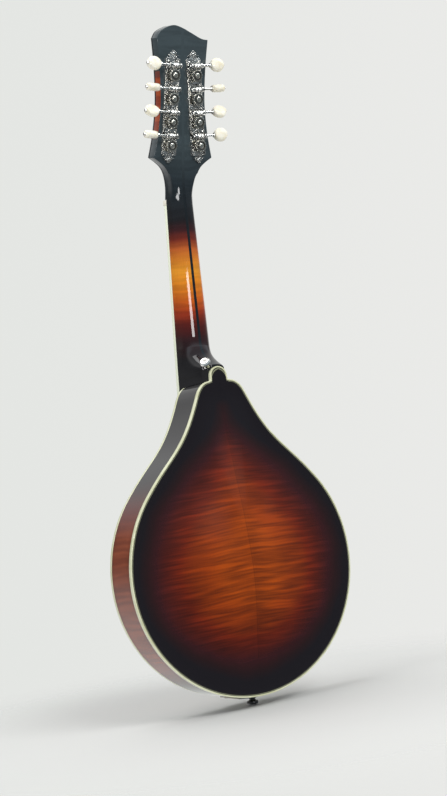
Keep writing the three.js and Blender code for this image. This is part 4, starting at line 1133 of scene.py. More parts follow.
@dataclass(frozen=True)
class Plan:
    """The sizes and curves that the sub-assemblies share, in millimetres."""

    pin_proud: float = PIN_PROUD
    radius: float = 127.0
    length: float = 313.0
    half_depth: float = 22.0
    plate_edge: float = 4.0
    plate_thickness: float = 4.2
    arch: float = 15.0
    dip: float = 0.8
    dip_share: float = 0.92
    glue: float = 0.3
    hair: float = 0.02
    tab_radius: float = 9.6
    tab_reach: float = 14.6
    tab_foot_rise: float = 1.5
    fit: float = 0.9975
    neck_degrees: float = 5.5
    board_rise: float = 9.9
    free_neck: float = 186.0
    scale: float = 352.4
    board_thickness: float = 4.8
    board_tail: float = 5.0
    frets: int = 21
    nut_width: float = 28.6
    nut_thickness: float = 4.8
    board_end_width: float = 41.0
    peghead_degrees: float = 9.7
    peghead_thickness: float = 12.5
    peghead_length: float = 172.0
    peghead_half: float = 33.7
    overlay: float = 2.2
    post_spacing: float = 23.0
    post_aside: float = 14.75
    post_foot: float = 54.3
    post_splay: float = 3.5
    post_hole: float = 3.6

    @property
    def rib_half(self) -> float:
        """Half the height of the rim between the plates' edges."""
        return self.half_depth - self.plate_edge

    @property
    def body(self) -> Place:
        """The body's frame."""
        return Place(Matrix.Translation((0, 0, self.pin_proud)))

    @property
    def neck(self) -> Place:
        """The neck's frame, at the body joint on the fretboard's face."""
        return self.body.within(
            0, -(self.half_depth + self.board_rise), self.length, "X", -self.neck_degrees
        )

    @property
    def peghead_start(self) -> float:
        """Where the peghead starts, along the neck."""
        return self.free_neck + self.nut_thickness + 2 * self.glue

    @property
    def peghead(self) -> Place:
        """The peghead's frame."""
        return self.neck.within(
            0, self.board_thickness - self.overlay, self.peghead_start, "X", -self.peghead_degrees
        )

    def side_curve(self) -> list[Point]:
        """Half the body's outline, from the tail round the treble side to the neck.

        Returns:
            Points with z counted from the tail.
        """
        turn, waist = math.radians(129), math.radians(66)
        start = (self.radius * math.sin(turn), self.radius * (1 - math.cos(turn)))
        tip = (28.2, self.length - 13)
        way_out, way_in = (math.cos(turn), math.sin(turn)), (-math.cos(waist), math.sin(waist))

        def reach(point: Point, way: Point, share: float) -> Point:
            """Gives a handle of the curve from its end, its way and its length."""
            return tuple(p + w * share * self.radius for p, w in zip(point, way))

        bout = [
            (self.radius * math.sin(turn * i / 60), self.radius * (1 - math.cos(turn * i / 60)))
            for i in range(61)
        ]
        shoulder = bezier(
            [start, reach(start, way_out, 0.425), reach(tip, way_in, -0.472), tip], 34
        )
        cap = bezier([tip, reach(tip, way_in, 0.157), (8.0, self.length), (6.0, self.length)], 10)
        curve = bout + shoulder[1:] + cap[1:]
        middle = self.radius
        return [(x * self.fit, middle + (z - middle) * self.fit) for x, z in curve]

    @staticmethod
    def mirrored(half: Sequence[Point]) -> list[Point]:
        """A whole outline from its treble half."""
        return list(half) + [(-x, z) for x, z in reversed(half) if x > 0.3]

    @property
    def outline(self) -> list[Point]:
        """The outline of the rim and the top."""
        return self.mirrored(self.side_curve())

    @property
    def back_outline(self) -> list[Point]:
        """The outline of the back with its round tab.

        Returns:
            Points with z counted from the tail.
        """
        clear = self.tab_radius + 1.5
        half = [p for p in self.side_curve() if p[1] < self.length - 13 or p[0] > clear + 1]
        centre = self.length + self.tab_reach - self.tab_radius
        tab = [
            (self.tab_radius * math.cos(turn), centre + self.tab_radius * math.sin(turn))
            for turn in (math.pi * i / 20 for i in range(11))
        ]
        foot = (self.tab_radius + 0.3, self.length + self.tab_foot_rise - 0.5)
        return self.mirrored(half + [foot] + [(x * self.fit, z - 0.1) for x, z in tab])

    @staticmethod
    def inset(loop: Sequence[Point], distance: float) -> list[Point]:
        """A loop moved inwards, square to its edges.

        Args:
            loop: The loop, counter-clockwise.
            distance: How far it moves.

        Returns:
            The smaller loop.
        """
        result = []
        for i, point in enumerate(loop):
            a = Vector(point) - Vector(loop[i - 1])
            b = Vector(loop[(i + 1) % len(loop)]) - Vector(point)
            a.normalize()
            b.normalize()
            normal = Vector((-(a.y + b.y), a.x + b.x)).normalized()
            lean = max(normal.dot(Vector((-a.y, a.x))), 0.5)
            result.append(tuple(Vector(point) + normal * distance / lean))
        return result

    def shrunk(self, loop: Sequence[Point], share: float) -> list[Point]:
        """A loop drawn in towards the middle of the lower bout."""
        return [(x * share, self.radius + (z - self.radius) * share) for x, z in loop]

    def rise(self, share: float) -> float:
        """Height of the carved arch over the plate's edge.

        Args:
            share: Place between the middle, 0, and the edge, 1.

        Returns:
            The height, in millimetres.
        """
        if share < self.dip_share:
            fall = (1 + math.cos(math.pi * share / self.dip_share)) / 2
            return (self.arch + self.dip) * fall - self.dip
        climb = (share - self.dip_share) / (1 - self.dip_share)
        return self.dip * (climb * climb - 1)

    @property
    def bridge_z(self) -> float:
        """Where the strings cross the bridge, along the body."""
        lean = math.radians(self.neck_degrees)
        return self.length + (self.free_neck - self.scale) * math.cos(lean)

    @property
    def board_length(self) -> float:
        """Length of the fretboard from the nut to its end."""
        return self.scale * (1 - 2 ** (-self.frets / 12)) + self.board_tail

    def board_half(self, along: float) -> float:
        """Half width of the fretboard at a place along the neck."""
        share = (self.free_neck - along) / self.board_length
        return (self.nut_width + (self.board_end_width - self.nut_width) * share) / 2

    def peghead_outline(self) -> list[Point]:
        """The peghead's outline, seen from the front.

        Returns:
            Points with z counted from the peghead's foot.
        """
        wing = [(0.424, 0), (0.424, 0.075), (0.49, 0.145), (0.61, 0.19), (0.8, 0.222), (1, 0.247)]
        flank = [(1, 0.247), (0.862, 0.375), (0.775, 0.51), (0.757, 0.62), (0.795, 0.78),
                 (0.87, 0.925)]
        crest = [(0.87, 0.925), (0.72, 0.968), (0.335, 1), (0.04, 0.991), (-0.3, 0.962),
                 (-0.645, 0.931), (-0.87, 0.925)]
        wing, flank, crest = (
            curve_through([(x * self.peghead_half, z * self.peghead_length) for x, z in shares], n)
            for shares, n in ((wing, 20), (flank, 24), (crest, 36))
        )
        treble = wing + flank[1:]
        return treble + crest[1:-1] + [(-x, z) for x, z in reversed(treble)]

    def post(self, side: Side, number: int) -> Point:
        """The place of a tuner's post in the peghead.

        Args:
            side: The side that it is on.
            number: 0 next to the nut and 3 at the top.

        Returns:
            Its x and z in the peghead's frame.
        """
        along = (number - 1.5) * self.post_spacing
        splay = math.radians(self.post_splay)
        middle = self.post_foot + 1.5 * self.post_spacing
        return (
            side.value * (self.post_aside - along * math.sin(splay)),
            middle + along * math.cos(splay),
        )


PLAN = Plan()


# The body


@dataclass
class BodyShell:
    """Carved plates, rim and bindings, with what is inside."""

    binding_width: float = 1.5
    rib: float = 2.2
    lining: float = 4.0
    lining_height: float = 7.0
    outer: tuple = (0.06, 0.14, 0.22, 0.3, 0.38, 0.46, 0.54, 0.62, 0.69, 0.76, 0.82, 0.87, 0.905,
                    0.93, 0.95, 0.968, 0.985, 1.0)
    inner: tuple = (0.86, 0.8, 0.7, 0.58, 0.44, 0.3, 0.15)
    hole_width: float = 6.4
    hole_eye: float = 4.4
    hole_length: float = 74.0
    hole_spread: float = 47.0
    hole_slant: float = 23.0
    pin_hole: float = 3.9
    mortise: float = 11.3
    mortise_depth: float = 12.3

    def carved(self, name: str, outline: Sequence[Point], way: int) -> Piece:
        """A carved plate.

        Args:
            name: Name of the piece.
            outline: Outline of its binding.
            way: -1 for the top and 1 for the back.

        Returns:
            The new plate.
        """
        edge = PLAN.inset(outline, self.binding_width + PLAN.hair)
        plain = [(x, min(z, PLAN.length - self.binding_width)) for x, z in edge]
        rings: list[tuple[list[Point], float]] = []
        for share in self.outer:
            loop = PLAN.shrunk(edge if share == 1.0 else plain, share)
            rings.append((loop, PLAN.half_depth + PLAN.rise(share)))
        rings.append((edge, PLAN.rib_half + PLAN.hair))
        for i, share in enumerate(self.inner):
            rise = PLAN.hair - PLAN.plate_edge
            if i > 0:
                rise = PLAN.rise(share) - PLAN.plate_thickness
            rings.append((PLAN.shrunk(plain, share), PLAN.half_depth + rise))
        peaks = (PLAN.half_depth + PLAN.arch, PLAN.half_depth + PLAN.arch - PLAN.plate_thickness)
        start, end = (PLAN.body.at(0, way * peak, PLAN.radius) for peak in peaks)
        points = [[PLAN.body.at(x, way * level, z) for x, z in loop] for loop, level in rings]
        piece = BENCH.closed(name, start, points, end)
        self.measure_edge(piece, edge)
        return piece

    def measure_edge(self, piece: Piece, edge: Sequence[Point]) -> None:
        """Stores each point's distance from the plate's edge, in millimetres.

        Args:
            piece: The plate.
            edge: The plate's edge.
        """
        loop = np.array(edge)
        span = np.roll(loop, -1, axis=0) - loop
        points = np.array(
            [(v.co.x / MM, v.co.z / MM - PLAN.pin_proud) for v in piece.data.vertices]
        )
        nearest = np.full(len(points), 1e9)
        for start, step in zip(loop, span):
            t = np.clip(((points - start) @ step) / max(step @ step, 1e-9), 0, 1)
            nearest = np.minimum(nearest, np.hypot(*(points - start - t[:, None] * step).T))
        attribute = piece.data.attributes.new("edge_mm", "FLOAT", "POINT")
        attribute.data.foreach_set("value", nearest.astype(np.float32))

    def sound_hole(self, side: int) -> Piece:
        """A cutter for one slanted sound hole with its two eyes.

        Args:
            side: 1 for treble and -1 for bass.

        Returns:
            The cutter.
        """
        line = PLAN.bridge_z

        def spot(across: float, along: float) -> Point:
            """Gives a point of the hole from its shares of slant and length."""
            aside = self.hole_spread + across * self.hole_slant
            return (side * aside, line + along * self.hole_length)

        ends = [spot(-0.62, 0.5), spot(0.42, 0.34), spot(-0.42, -0.34), spot(0.62, -0.5)]
        route = bezier(ends, 28)
        left, right = [], []
        for i, (x, z) in enumerate(route):
            before, after = route[max(i - 1, 0)], route[min(i + 1, len(route) - 1)]
            way = (Vector(after) - Vector(before)).normalized()
            half = self.hole_width / 2 * (0.35 + 0.65 * math.sin(math.pi * i / (len(route) - 1)))
            left.append((x - way.y * half, z + way.x * half))
            right.append((x + way.y * half, z - way.x * half))
        outline = [PLAN.body.at(x, -42, z) for x, z in left + right[::-1]]
        slot = BENCH.slab("sound_hole_tool", outline, PLAN.body.way(0, 29, 0))
        for x, z in (spot(-0.5, 0.44), spot(0.5, -0.44)):
            circle = PLAN.body.circle((x, -42.5, z), self.hole_eye, 36)
            eye = BENCH.slab("eye_tool", circle, PLAN.body.way(0, 30, 0))
            BENCH.worked(slot, eye, Combine.JOIN)
        return slot

    def banded(
        self, name: str, outline: Sequence[Point], section: Sequence[Point], soft: float
    ) -> Piece:
        """A band round the body.

        Args:
            name: Name of the piece.
            outline: The outline that it follows.
            section: Corners as distance inwards and height.
            soft: Width of the eased edges, in millimetres.

        Returns:
            The new band.
        """
        loops = [
            [PLAN.body.at(x, level, z) for x, z in PLAN.inset(outline, distance)]
            for distance, level in section
        ]
        piece = BENCH.ring(name, loops)
        if soft:
            BENCH.eased(piece, soft * MM, 2, 50)
        return piece

    def build(self) -> None:
        """Builds and finishes the whole body."""
        outline, tabbed = PLAN.outline, PLAN.back_outline
        BENCH.sent(self.carved("carved_back", tabbed, 1), BACK, "back_plate")
        top = self.carved("carved_top", outline, -1)
        for side in (1, -1):
            BENCH.worked(top, self.sound_hole(side), Combine.CUT)
        BENCH.sent(top, TOP, "top_plate")
        width, half, low = self.binding_width, PLAN.half_depth, PLAN.rib_half + PLAN.hair
        for name, node, loop, way in (
            ("back_edge_binding", "back_binding", tabbed, 1),
            ("top_edge_binding", "top_binding", outline, -1),
        ):
            section = [(0, way * low), (0, way * half), (width, way * half), (width, way * low)]
            BENCH.sent(self.banded(name, loop, section, 0.3), CREAM, node)
        BENCH.sent(self.ribs(outline), RIBS, "rim")
        for node in ("neck_block", "tail_block", "treble_tone_bar", "bass_tone_bar"):
            BENCH.dressed(node, BARE)

    def ribs(self, outline: Sequence[Point]) -> Piece:
        """The bent ribs with their linings, bored for the pin and cut for the neck.

        Args:
            outline: The rim's outline.

        Returns:
            The rim.
        """
        rib, inward = PLAN.rib_half, self.rib + self.lining
        low, slope = rib - self.lining_height, rib - self.lining_height - self.lining / 2
        section = [(0.05, -rib), (0.05, rib), (inward, rib), (inward, low), (self.rib, slope),
                   (self.rib, -slope), (inward, -low), (inward, -rib)]
        rim = self.banded("bent_ribs", outline, section, 0.0)
        BENCH.bored(rim, PLAN.body, (0, 0, -4), self.pin_hole, 20, 24, "z")
        x, y = self.mortise, self.mortise_depth
        mortise = [PLAN.body.at(*corner, 300) for corner in ((-x, -y), (x, -y), (x, y), (-x, y))]
        tool = BENCH.slab("mortise_tool", mortise, PLAN.body.way(0, 0, 20))
        BENCH.worked(rim, tool, Combine.CUT)
        self.measure_round(rim, outline)
        return rim

    def measure_round(self, piece: Piece, outline: Sequence[Point]) -> None:
        """Stores how far round the rim each point is, in millimetres from the tail.

        Args:
            piece: The rim.
            outline: The rim's outline.
        """
        loop = np.array([p for p in outline if p[0] >= 0])
        lengths = np.concatenate([[0], np.cumsum(np.hypot(*np.diff(loop, axis=0).T))])
        points = np.array(
            [(abs(v.co.x) / MM, v.co.z / MM - PLAN.pin_proud) for v in piece.data.vertices]
        )
        nearest = np.array([np.argmin(np.hypot(*(loop - p).T)) for p in points])
        attribute = piece.data.attributes.new("along_mm", "FLOAT", "POINT")
        attribute.data.foreach_set("value", lengths[nearest].astype(np.float32))


# The neck


@dataclass
class NeckSet:
    """The neck in its three layers, the fretboard and what is on the peghead."""

    depth_nut: float = 18.0
    depth_heel: float = 23.2
    heel_start: float = 42.0
    heel_foot: float = 18.0
    heel_back: float = 0.56
    strip: float = 3.0
    rod_radius: float = 2.4
    cover_length: float = 34.0
    cover_half: float = 9.0
    cover_start: float = 1.2
    cover_thickness: float = 1.6
    marked_frets: tuple = (3, 5, 7, 10, 12, 15, 17)
    marker_radius: float = 2.6
    sides: int = 16
    red_span: tuple = (62.0, 128.0)
    tenon: tuple = ((-11, 11), (-12, 12), (301, 315))

    @property
    def channel(self) -> float:
        """Half the width of the truss rod's channel."""
        return self.rod_radius + PLAN.glue

    def section(
        self, place: Place, along: float, half: float, top: float, back: float, square: float,
        back_share: float,
    ) -> list[Vector]:
        """One cross-section of the neck.

        Args:
            place: The frame that it is drawn in.
            along: Place along the frame.
            half: Half width at the fretboard.
            top: Height of the flat under the fretboard.
            back: Depth of the back.
            square: 0 on the round shaft and 1 where the sides are straight.
            back_share: Width at the back of a straight section, as a share of the front's.

        Returns:
            Points round the section.
        """
        side = []
        for i in range(self.sides):
            share = math.sin(math.pi / 2 * i / self.sides)
            curved = math.sqrt(1 - share**2.3)
            straight = (1 - (1 - back_share) * share) * math.sqrt(1 - share**12)
            across = half * (curved + (straight - curved) * square)
            side.append((across, top + (back - top) * share))
        loop = side + [(0.0, back)] + [(-x, y) for x, y in reversed(side)]
        return [place.at(x, y, along) for x, y in loop]

    def lofted(self, name: str, loops: Sequence[Sequence[Vector]]) -> Piece:
        """A closed form through cross-sections, all with as many points."""
        start, end = (sum(loop, Vector()) / len(loop) for loop in (loops[0], loops[-1]))
        return BENCH.closed(name, start, loops, end)

    def peghead_room(self) -> Piece:
        """The room for the peghead's wood: round like the neck at its foot and square above.

        Returns:
            The solid that the peghead's wood stays within.
        """
        back = self.depth_nut - PLAN.board_thickness + PLAN.overlay
        back /= math.cos(math.radians(PLAN.peghead_degrees))
        foot = [(0.43, 0), (0.436, 0.15), (0.47, 0.4), (0.54, 0.7), (0.78, 1), (1.1, 1)]
        stations = [
            (i / 100, x, min(square, 1.0)) for i, (x, square) in enumerate(curve_through(foot, 25))
        ]
        length, half = PLAN.peghead_length, PLAN.peghead_half
        return self.lofted("room_tool", [
            self.section(PLAN.peghead, z * length, x * half, 0, back, square, 1.0)
            for z, x, square in stations + [(1.05, 1.1, 1.0)]
        ])

    def shaft(self) -> Piece:
        """The neck's shaft and heel, before it is cut to the body.

        Returns:
            The shaft as one solid.
        """
        wood_top = PLAN.board_thickness + PLAN.hair
        slope = (self.depth_heel - self.depth_nut) / (PLAN.free_neck - self.heel_start)
        foot = 2 * PLAN.half_depth + PLAN.board_rise
        fall = [(0, 1), (0.1, 0.89), (0.25, 0.62), (0.45, 0.33), (0.68, 0.12), (1, 0)]
        stations = [(-self.heel_foot, PLAN.board_half(0), wood_top, foot, 1.0)]
        for share, drop in curve_through(fall, 20):
            along = self.heel_foot + (self.heel_start - self.heel_foot) * share
            drop = max(drop, 0.0)
            depth = self.depth_heel + (foot - self.depth_heel) * drop
            stations.append((along, PLAN.board_half(along), wood_top, depth, math.sqrt(drop)))
        for i in range(1, 13):
            along = self.heel_start + (PLAN.free_neck - self.heel_start) * i / 12
            depth = self.depth_nut + (PLAN.free_neck - along) * slope
            stations.append((along, PLAN.board_half(along), wood_top, depth, 0.0))
        start, lean = PLAN.peghead_start, math.tan(math.radians(PLAN.peghead_degrees))
        for step, width, depth in ((2, 0.0, 0.0), (3.5, 0.5, 0.5), (5, 1.0, 1.0)):
            along = start + PLAN.nut_thickness * step
            top = wood_top + (along - start) * lean + PLAN.glue
            stations.append((along, PLAN.nut_width / 2 - width, top, self.depth_nut + depth, 0.0))
        sections = [self.section(PLAN.neck, *station, self.heel_back) for station in stations]
        return self.lofted("neck_blank", sections)

    def envelope(self) -> Piece:
        """The space of the closed body, used to cut the heel to it.

        Returns:
            The cutter.
        """
        grow, deep = 0.15, PLAN.half_depth + 8
        outline = PLAN.inset(PLAN.outline, -grow)
        rings = [(outline, deep), (outline, -(PLAN.half_depth + grow))]
        for share in (0.96, 0.92, 0.86, 0.78, 0.68, 0.56, 0.42, 0.26):
            level = -(PLAN.half_depth + PLAN.rise(share) + grow)
            rings.append((PLAN.shrunk(PLAN.outline, share), level))
        peak = -(PLAN.half_depth + PLAN.arch + grow)
        start, end = (PLAN.body.at(0, level, PLAN.radius) for level in (deep, peak))
        points = [[PLAN.body.at(x, level, z) for x, z in loop] for loop, level in rings]
        return BENCH.closed("body_tool", start, points, end)

    def post_tools(self) -> Piece:
        """Cutters for the eight post holes.

        Returns:
            The cutters as one piece.
        """
        tools = []
        for side in Side:
            for number in range(4):
                x, z = PLAN.post(side, number)
                circle = PLAN.peghead.circle((x, -6, z), PLAN.post_hole, 24)
                tools.append(BENCH.slab("post_tool", circle, PLAN.peghead.way(0, 24, 0)))
        return BENCH.gathered(tools)

    def block_tool(self, place: Place, x: tuple, y: tuple, z: tuple) -> Piece:
        """A square cutter between two corners of a frame.

        Args:
            place: The frame.
            x: Its lowest and highest x.
            y: Its lowest and highest y.
            z: Its lowest and highest z.

        Returns:
            The cutter.
        """
        loop = ((x[0], z[0]), (x[1], z[0]), (x[1], z[1]), (x[0], z[1]))
        corners = [place.at(a, y[0], b) for a, b in loop]
        return BENCH.slab("block_tool", corners, place.way(0, y[1] - y[0], 0))

    def blank(self) -> Piece:
        """The whole neck before it is parted into its layers.

        Returns:
            The neck as one solid.
        """
        body, neck, peghead = PLAN.body, PLAN.neck, PLAN.peghead
        blank = self.shaft()
        under = PLAN.overlay + PLAN.hair
        outline = [peghead.at(x, under, z) for x, z in PLAN.peghead_outline()]
        way = peghead.way(0, PLAN.peghead_thickness - PLAN.overlay - PLAN.hair, 0)
        wood = BENCH.slab("peghead_wood", outline, way, 0.0006, 3)
        BENCH.worked(wood, self.peghead_room(), Combine.KEEP)
        BENCH.worked(wood, self.post_tools(), Combine.CUT)
        end = PLAN.free_neck - PLAN.board_length + 5
        wide, narrow = PLAN.board_half(end) - 5, PLAN.board_half(0) - 5
        corners = [neck.at(x, PLAN.board_thickness + PLAN.hair, z)
                   for x, z in ((wide, end), (narrow, 1), (-narrow, 1), (-wide, end))]
        extension = BENCH.slab("extension", corners, neck.way(0, PLAN.board_rise * 2, 0))
        BENCH.worked(blank, extension, Combine.JOIN)
        BENCH.worked(blank, self.envelope(), Combine.CUT)
        beyond = self.block_tool(body, (-60, 60), (PLAN.rib_half - PLAN.hair, 90), (0, 500))
        BENCH.worked(blank, beyond, Combine.CUT)
        seat = FITTINGS.strap_place()
        BENCH.bored(blank, seat, (0, -0.05, 0), FITTINGS.button_radius, 18, 40)
        tenon = self.block_tool(body, *self.tenon)
        BENCH.worked(blank, tenon, Combine.JOIN)
        BENCH.worked(blank, wood, Combine.JOIN)
        room = self.channel
        rod = self.block_tool(
            neck, (-room, room), (-2, PLAN.board_thickness + PLAN.glue + 2 * room),
            (5.7, PLAN.peghead_start + self.cover_length / 2),
        )
        BENCH.worked(blank, rod, Combine.CUT)
        return blank

    def layer(self, blank: Piece, name: str, low: Optional[float], high: Optional[float]) -> Piece:
        """One layer of the neck, parted from the blank.

        Args:
            blank: The whole neck.
            name: Name of the layer.
            low: Lowest x in millimetres, or None for the edge.
            high: Highest x in millimetres, or None for the edge.

        Returns:
            The layer.
        """
        piece = BENCH.copied(blank, name, Matrix.Identity(4))
        for limit, clear_high in ((low, False), (high, True)):
            if limit is None:
                continue
            BENCH.opened(piece)
            bpy.ops.mesh.bisect(
                plane_co=(limit * MM, 0, 0), plane_no=(1, 0, 0), use_fill=True,
                clear_inner=not clear_high, clear_outer=clear_high, threshold=1e-7,
            )
            bpy.ops.object.mode_set(mode="OBJECT")
        self.mark_flanks(piece)
        return piece

    def mark_flanks(self, piece: Piece) -> None:
        """Stores where the flanks of the peghead show their red wood.

        Args:
            piece: A layer of the neck.
        """
        inverse = PLAN.peghead.matrix.inverted()
        turn = inverse.to_3x3()
        attribute = piece.data.attributes.new("flank", "FLOAT", "FACE")
        for polygon in piece.data.polygons:
            spot = inverse @ (polygon.center / MM)
            sideways = abs((turn @ polygon.normal).x)
            inside = 0 < spot.y < PLAN.peghead_thickness and abs(spot.x) > 20
            low, high = self.red_span
            fade = min(max((spot.z - low) / 6, 0), 1) * min(max((high - spot.z) / 6, 0), 1)
            attribute.data[polygon.index].value = fade if inside and sideways > 0.8 else 0.0

    def board(self) -> None:
        """The fretboard with its frets, markers and binding."""
        piece = BENCH.traced("fretboard", "fretted_board", 0.00012)
        piece.data.materials.append(EBONY.paint())
        piece.data.materials.append(FRETS.paint())
        while len(piece.data.materials) > 2:
            piece.data.materials.pop(index=0)
        inverse = PLAN.neck.matrix.inverted()
        for polygon in piece.data.polygons:
            polygon.material_index = 1 if (inverse @ (polygon.center / MM)).y < -0.02 else 0
        BENCH.sent(piece, EBONY, "fretboard")
        markers = []
        for fret in self.marked_frets:
            middle = (2 ** (-fret / 12) + 2 ** (-(fret - 1) / 12)) / 2
            along = PLAN.free_neck - PLAN.scale * (1 - middle)
            for x in ((-7.5, 7.5) if fret == 12 else (0.0,)):
                circle = PLAN.neck.circle((x, -0.05, along), self.marker_radius, 32)
                way = PLAN.neck.way(0, 0.5, 0)
                markers.append(BENCH.slab("board_markers", circle, way, 0.00004))
        BENCH.sent(BENCH.gathered(markers), SHELL)
        BENCH.kept("fretboard_binding", "board_binding", CREAM, 0.00025)
        BENCH.kept("nut", "slotted_nut", BONE, 0.0002)

    def front(self) -> None:
        """The veneer, the cover and its screws on the front of the peghead."""
        outline = [PLAN.peghead.at(x, 0, max(z, 0.3)) for x, z in PLAN.peghead_outline()]
        way = PLAN.peghead.way(0, PLAN.overlay, 0)
        veneer = BENCH.slab("peghead_veneer", outline, way, 0.0004, 3)
        BENCH.worked(veneer, self.post_tools(), Combine.CUT)
        start = PLAN.peghead_start
        pocket = self.block_tool(
            PLAN.neck, (-self.channel, self.channel), (-2, 12),
            (start + self.cover_start, start + self.cover_length / 2),
        )
        BENCH.worked(veneer, pocket, Combine.CUT)
        BENCH.sent(veneer, LACQUER, "peghead_overlay")
        bell = [(0.72, 0), (1, 0.1), (0.95, 0.35), (0.55, 0.62), (0.3, 0.85), (0, 1)]
        half = [
            (x * self.cover_half, self.cover_start + z * self.cover_length)
            for x, z in [(0.0, 0.0)] + curve_through(bell, 24)
        ]
        loop = half + [(-x, z) for x, z in reversed(half[1:-1])]
        rise = -(self.cover_thickness + PLAN.glue)
        cover = BENCH.slab(
            "rod_cover", [PLAN.peghead.at(x, rise, z) for x, z in loop],
            PLAN.peghead.way(0, self.cover_thickness + 0.25, 0), 0.0004, 2,
        )
        BENCH.sent(cover, EBONY, "truss_rod_cover")
        for letter, x, z in (("a", -5.2, 6.5), ("b", 5.2, 6.5), ("c", 0, 29)):
            seat = PLAN.peghead.within(x, rise, z)
            BENCH.sent(round_screw(f"cover_screw_{letter}", seat, -1, 1.5), NICKEL)

    def build(self) -> None:
        """Builds and finishes the neck and the peghead."""
        blank = self.blank()
        half = self.strip / 2
        for name, node, low, high, finish in (
            ("neck_layer_treble", "neck_treble_half", half + 0.01, None, NECK),
            ("neck_layer_stripe", "neck_center_strip", -half, half, STRIPE),
            ("neck_layer_bass", "neck_bass_half", None, -half - 0.01, NECK),
        ):
            layer = self.layer(blank, name, low, high)
            BENCH.healed(layer)
            BENCH.sent(layer, finish, node)
        bpy.data.objects.remove(blank)
        self.board()
        self.front()
        BENCH.dressed("truss_rod", STEEL)


def round_screw(name: str, place: Place, way: int, radius: float) -> Piece:
    """A small domed screw with a slot.

    Args:
        name: Name of the screw.
        place: Frame with its seat at the origin and y along its axis.
        way: 1 if it stands towards +y and -1 towards -y.
        radius: Radius of the head, in millimetres.

    Returns:
        The screw.
    """
    height = radius * 0.5
    profile = [(0, -way * height), (radius * 0.5, -way * height), (radius * 0.5, 0), (radius, 0)]
    profile += [
        (radius * math.cos(a), way * height * math.sin(a))
        for a in (math.radians(15 * i) for i in range(1, 6))
    ]
    profile.append((0, way * height))
    screw = turned(name, place, "y", profile, 24)
    long, wide = radius * 1.2, radius * 0.14
    corners = ((-long, -wide), (long, -wide), (long, wide), (-long, wide))
    slot = [place.at(x, way * height * 0.45, z) for x, z in corners]
    BENCH.worked(screw, BENCH.slab("slot_tool", slot, place.way(0, way * height, 0)), Combine.CUT)
    return screw


# The tuners


BUTTON_TURNS = {Side.TREBLE: (90, 40, 90, 15), Side.BASS: (5, 35, 90, 5)}


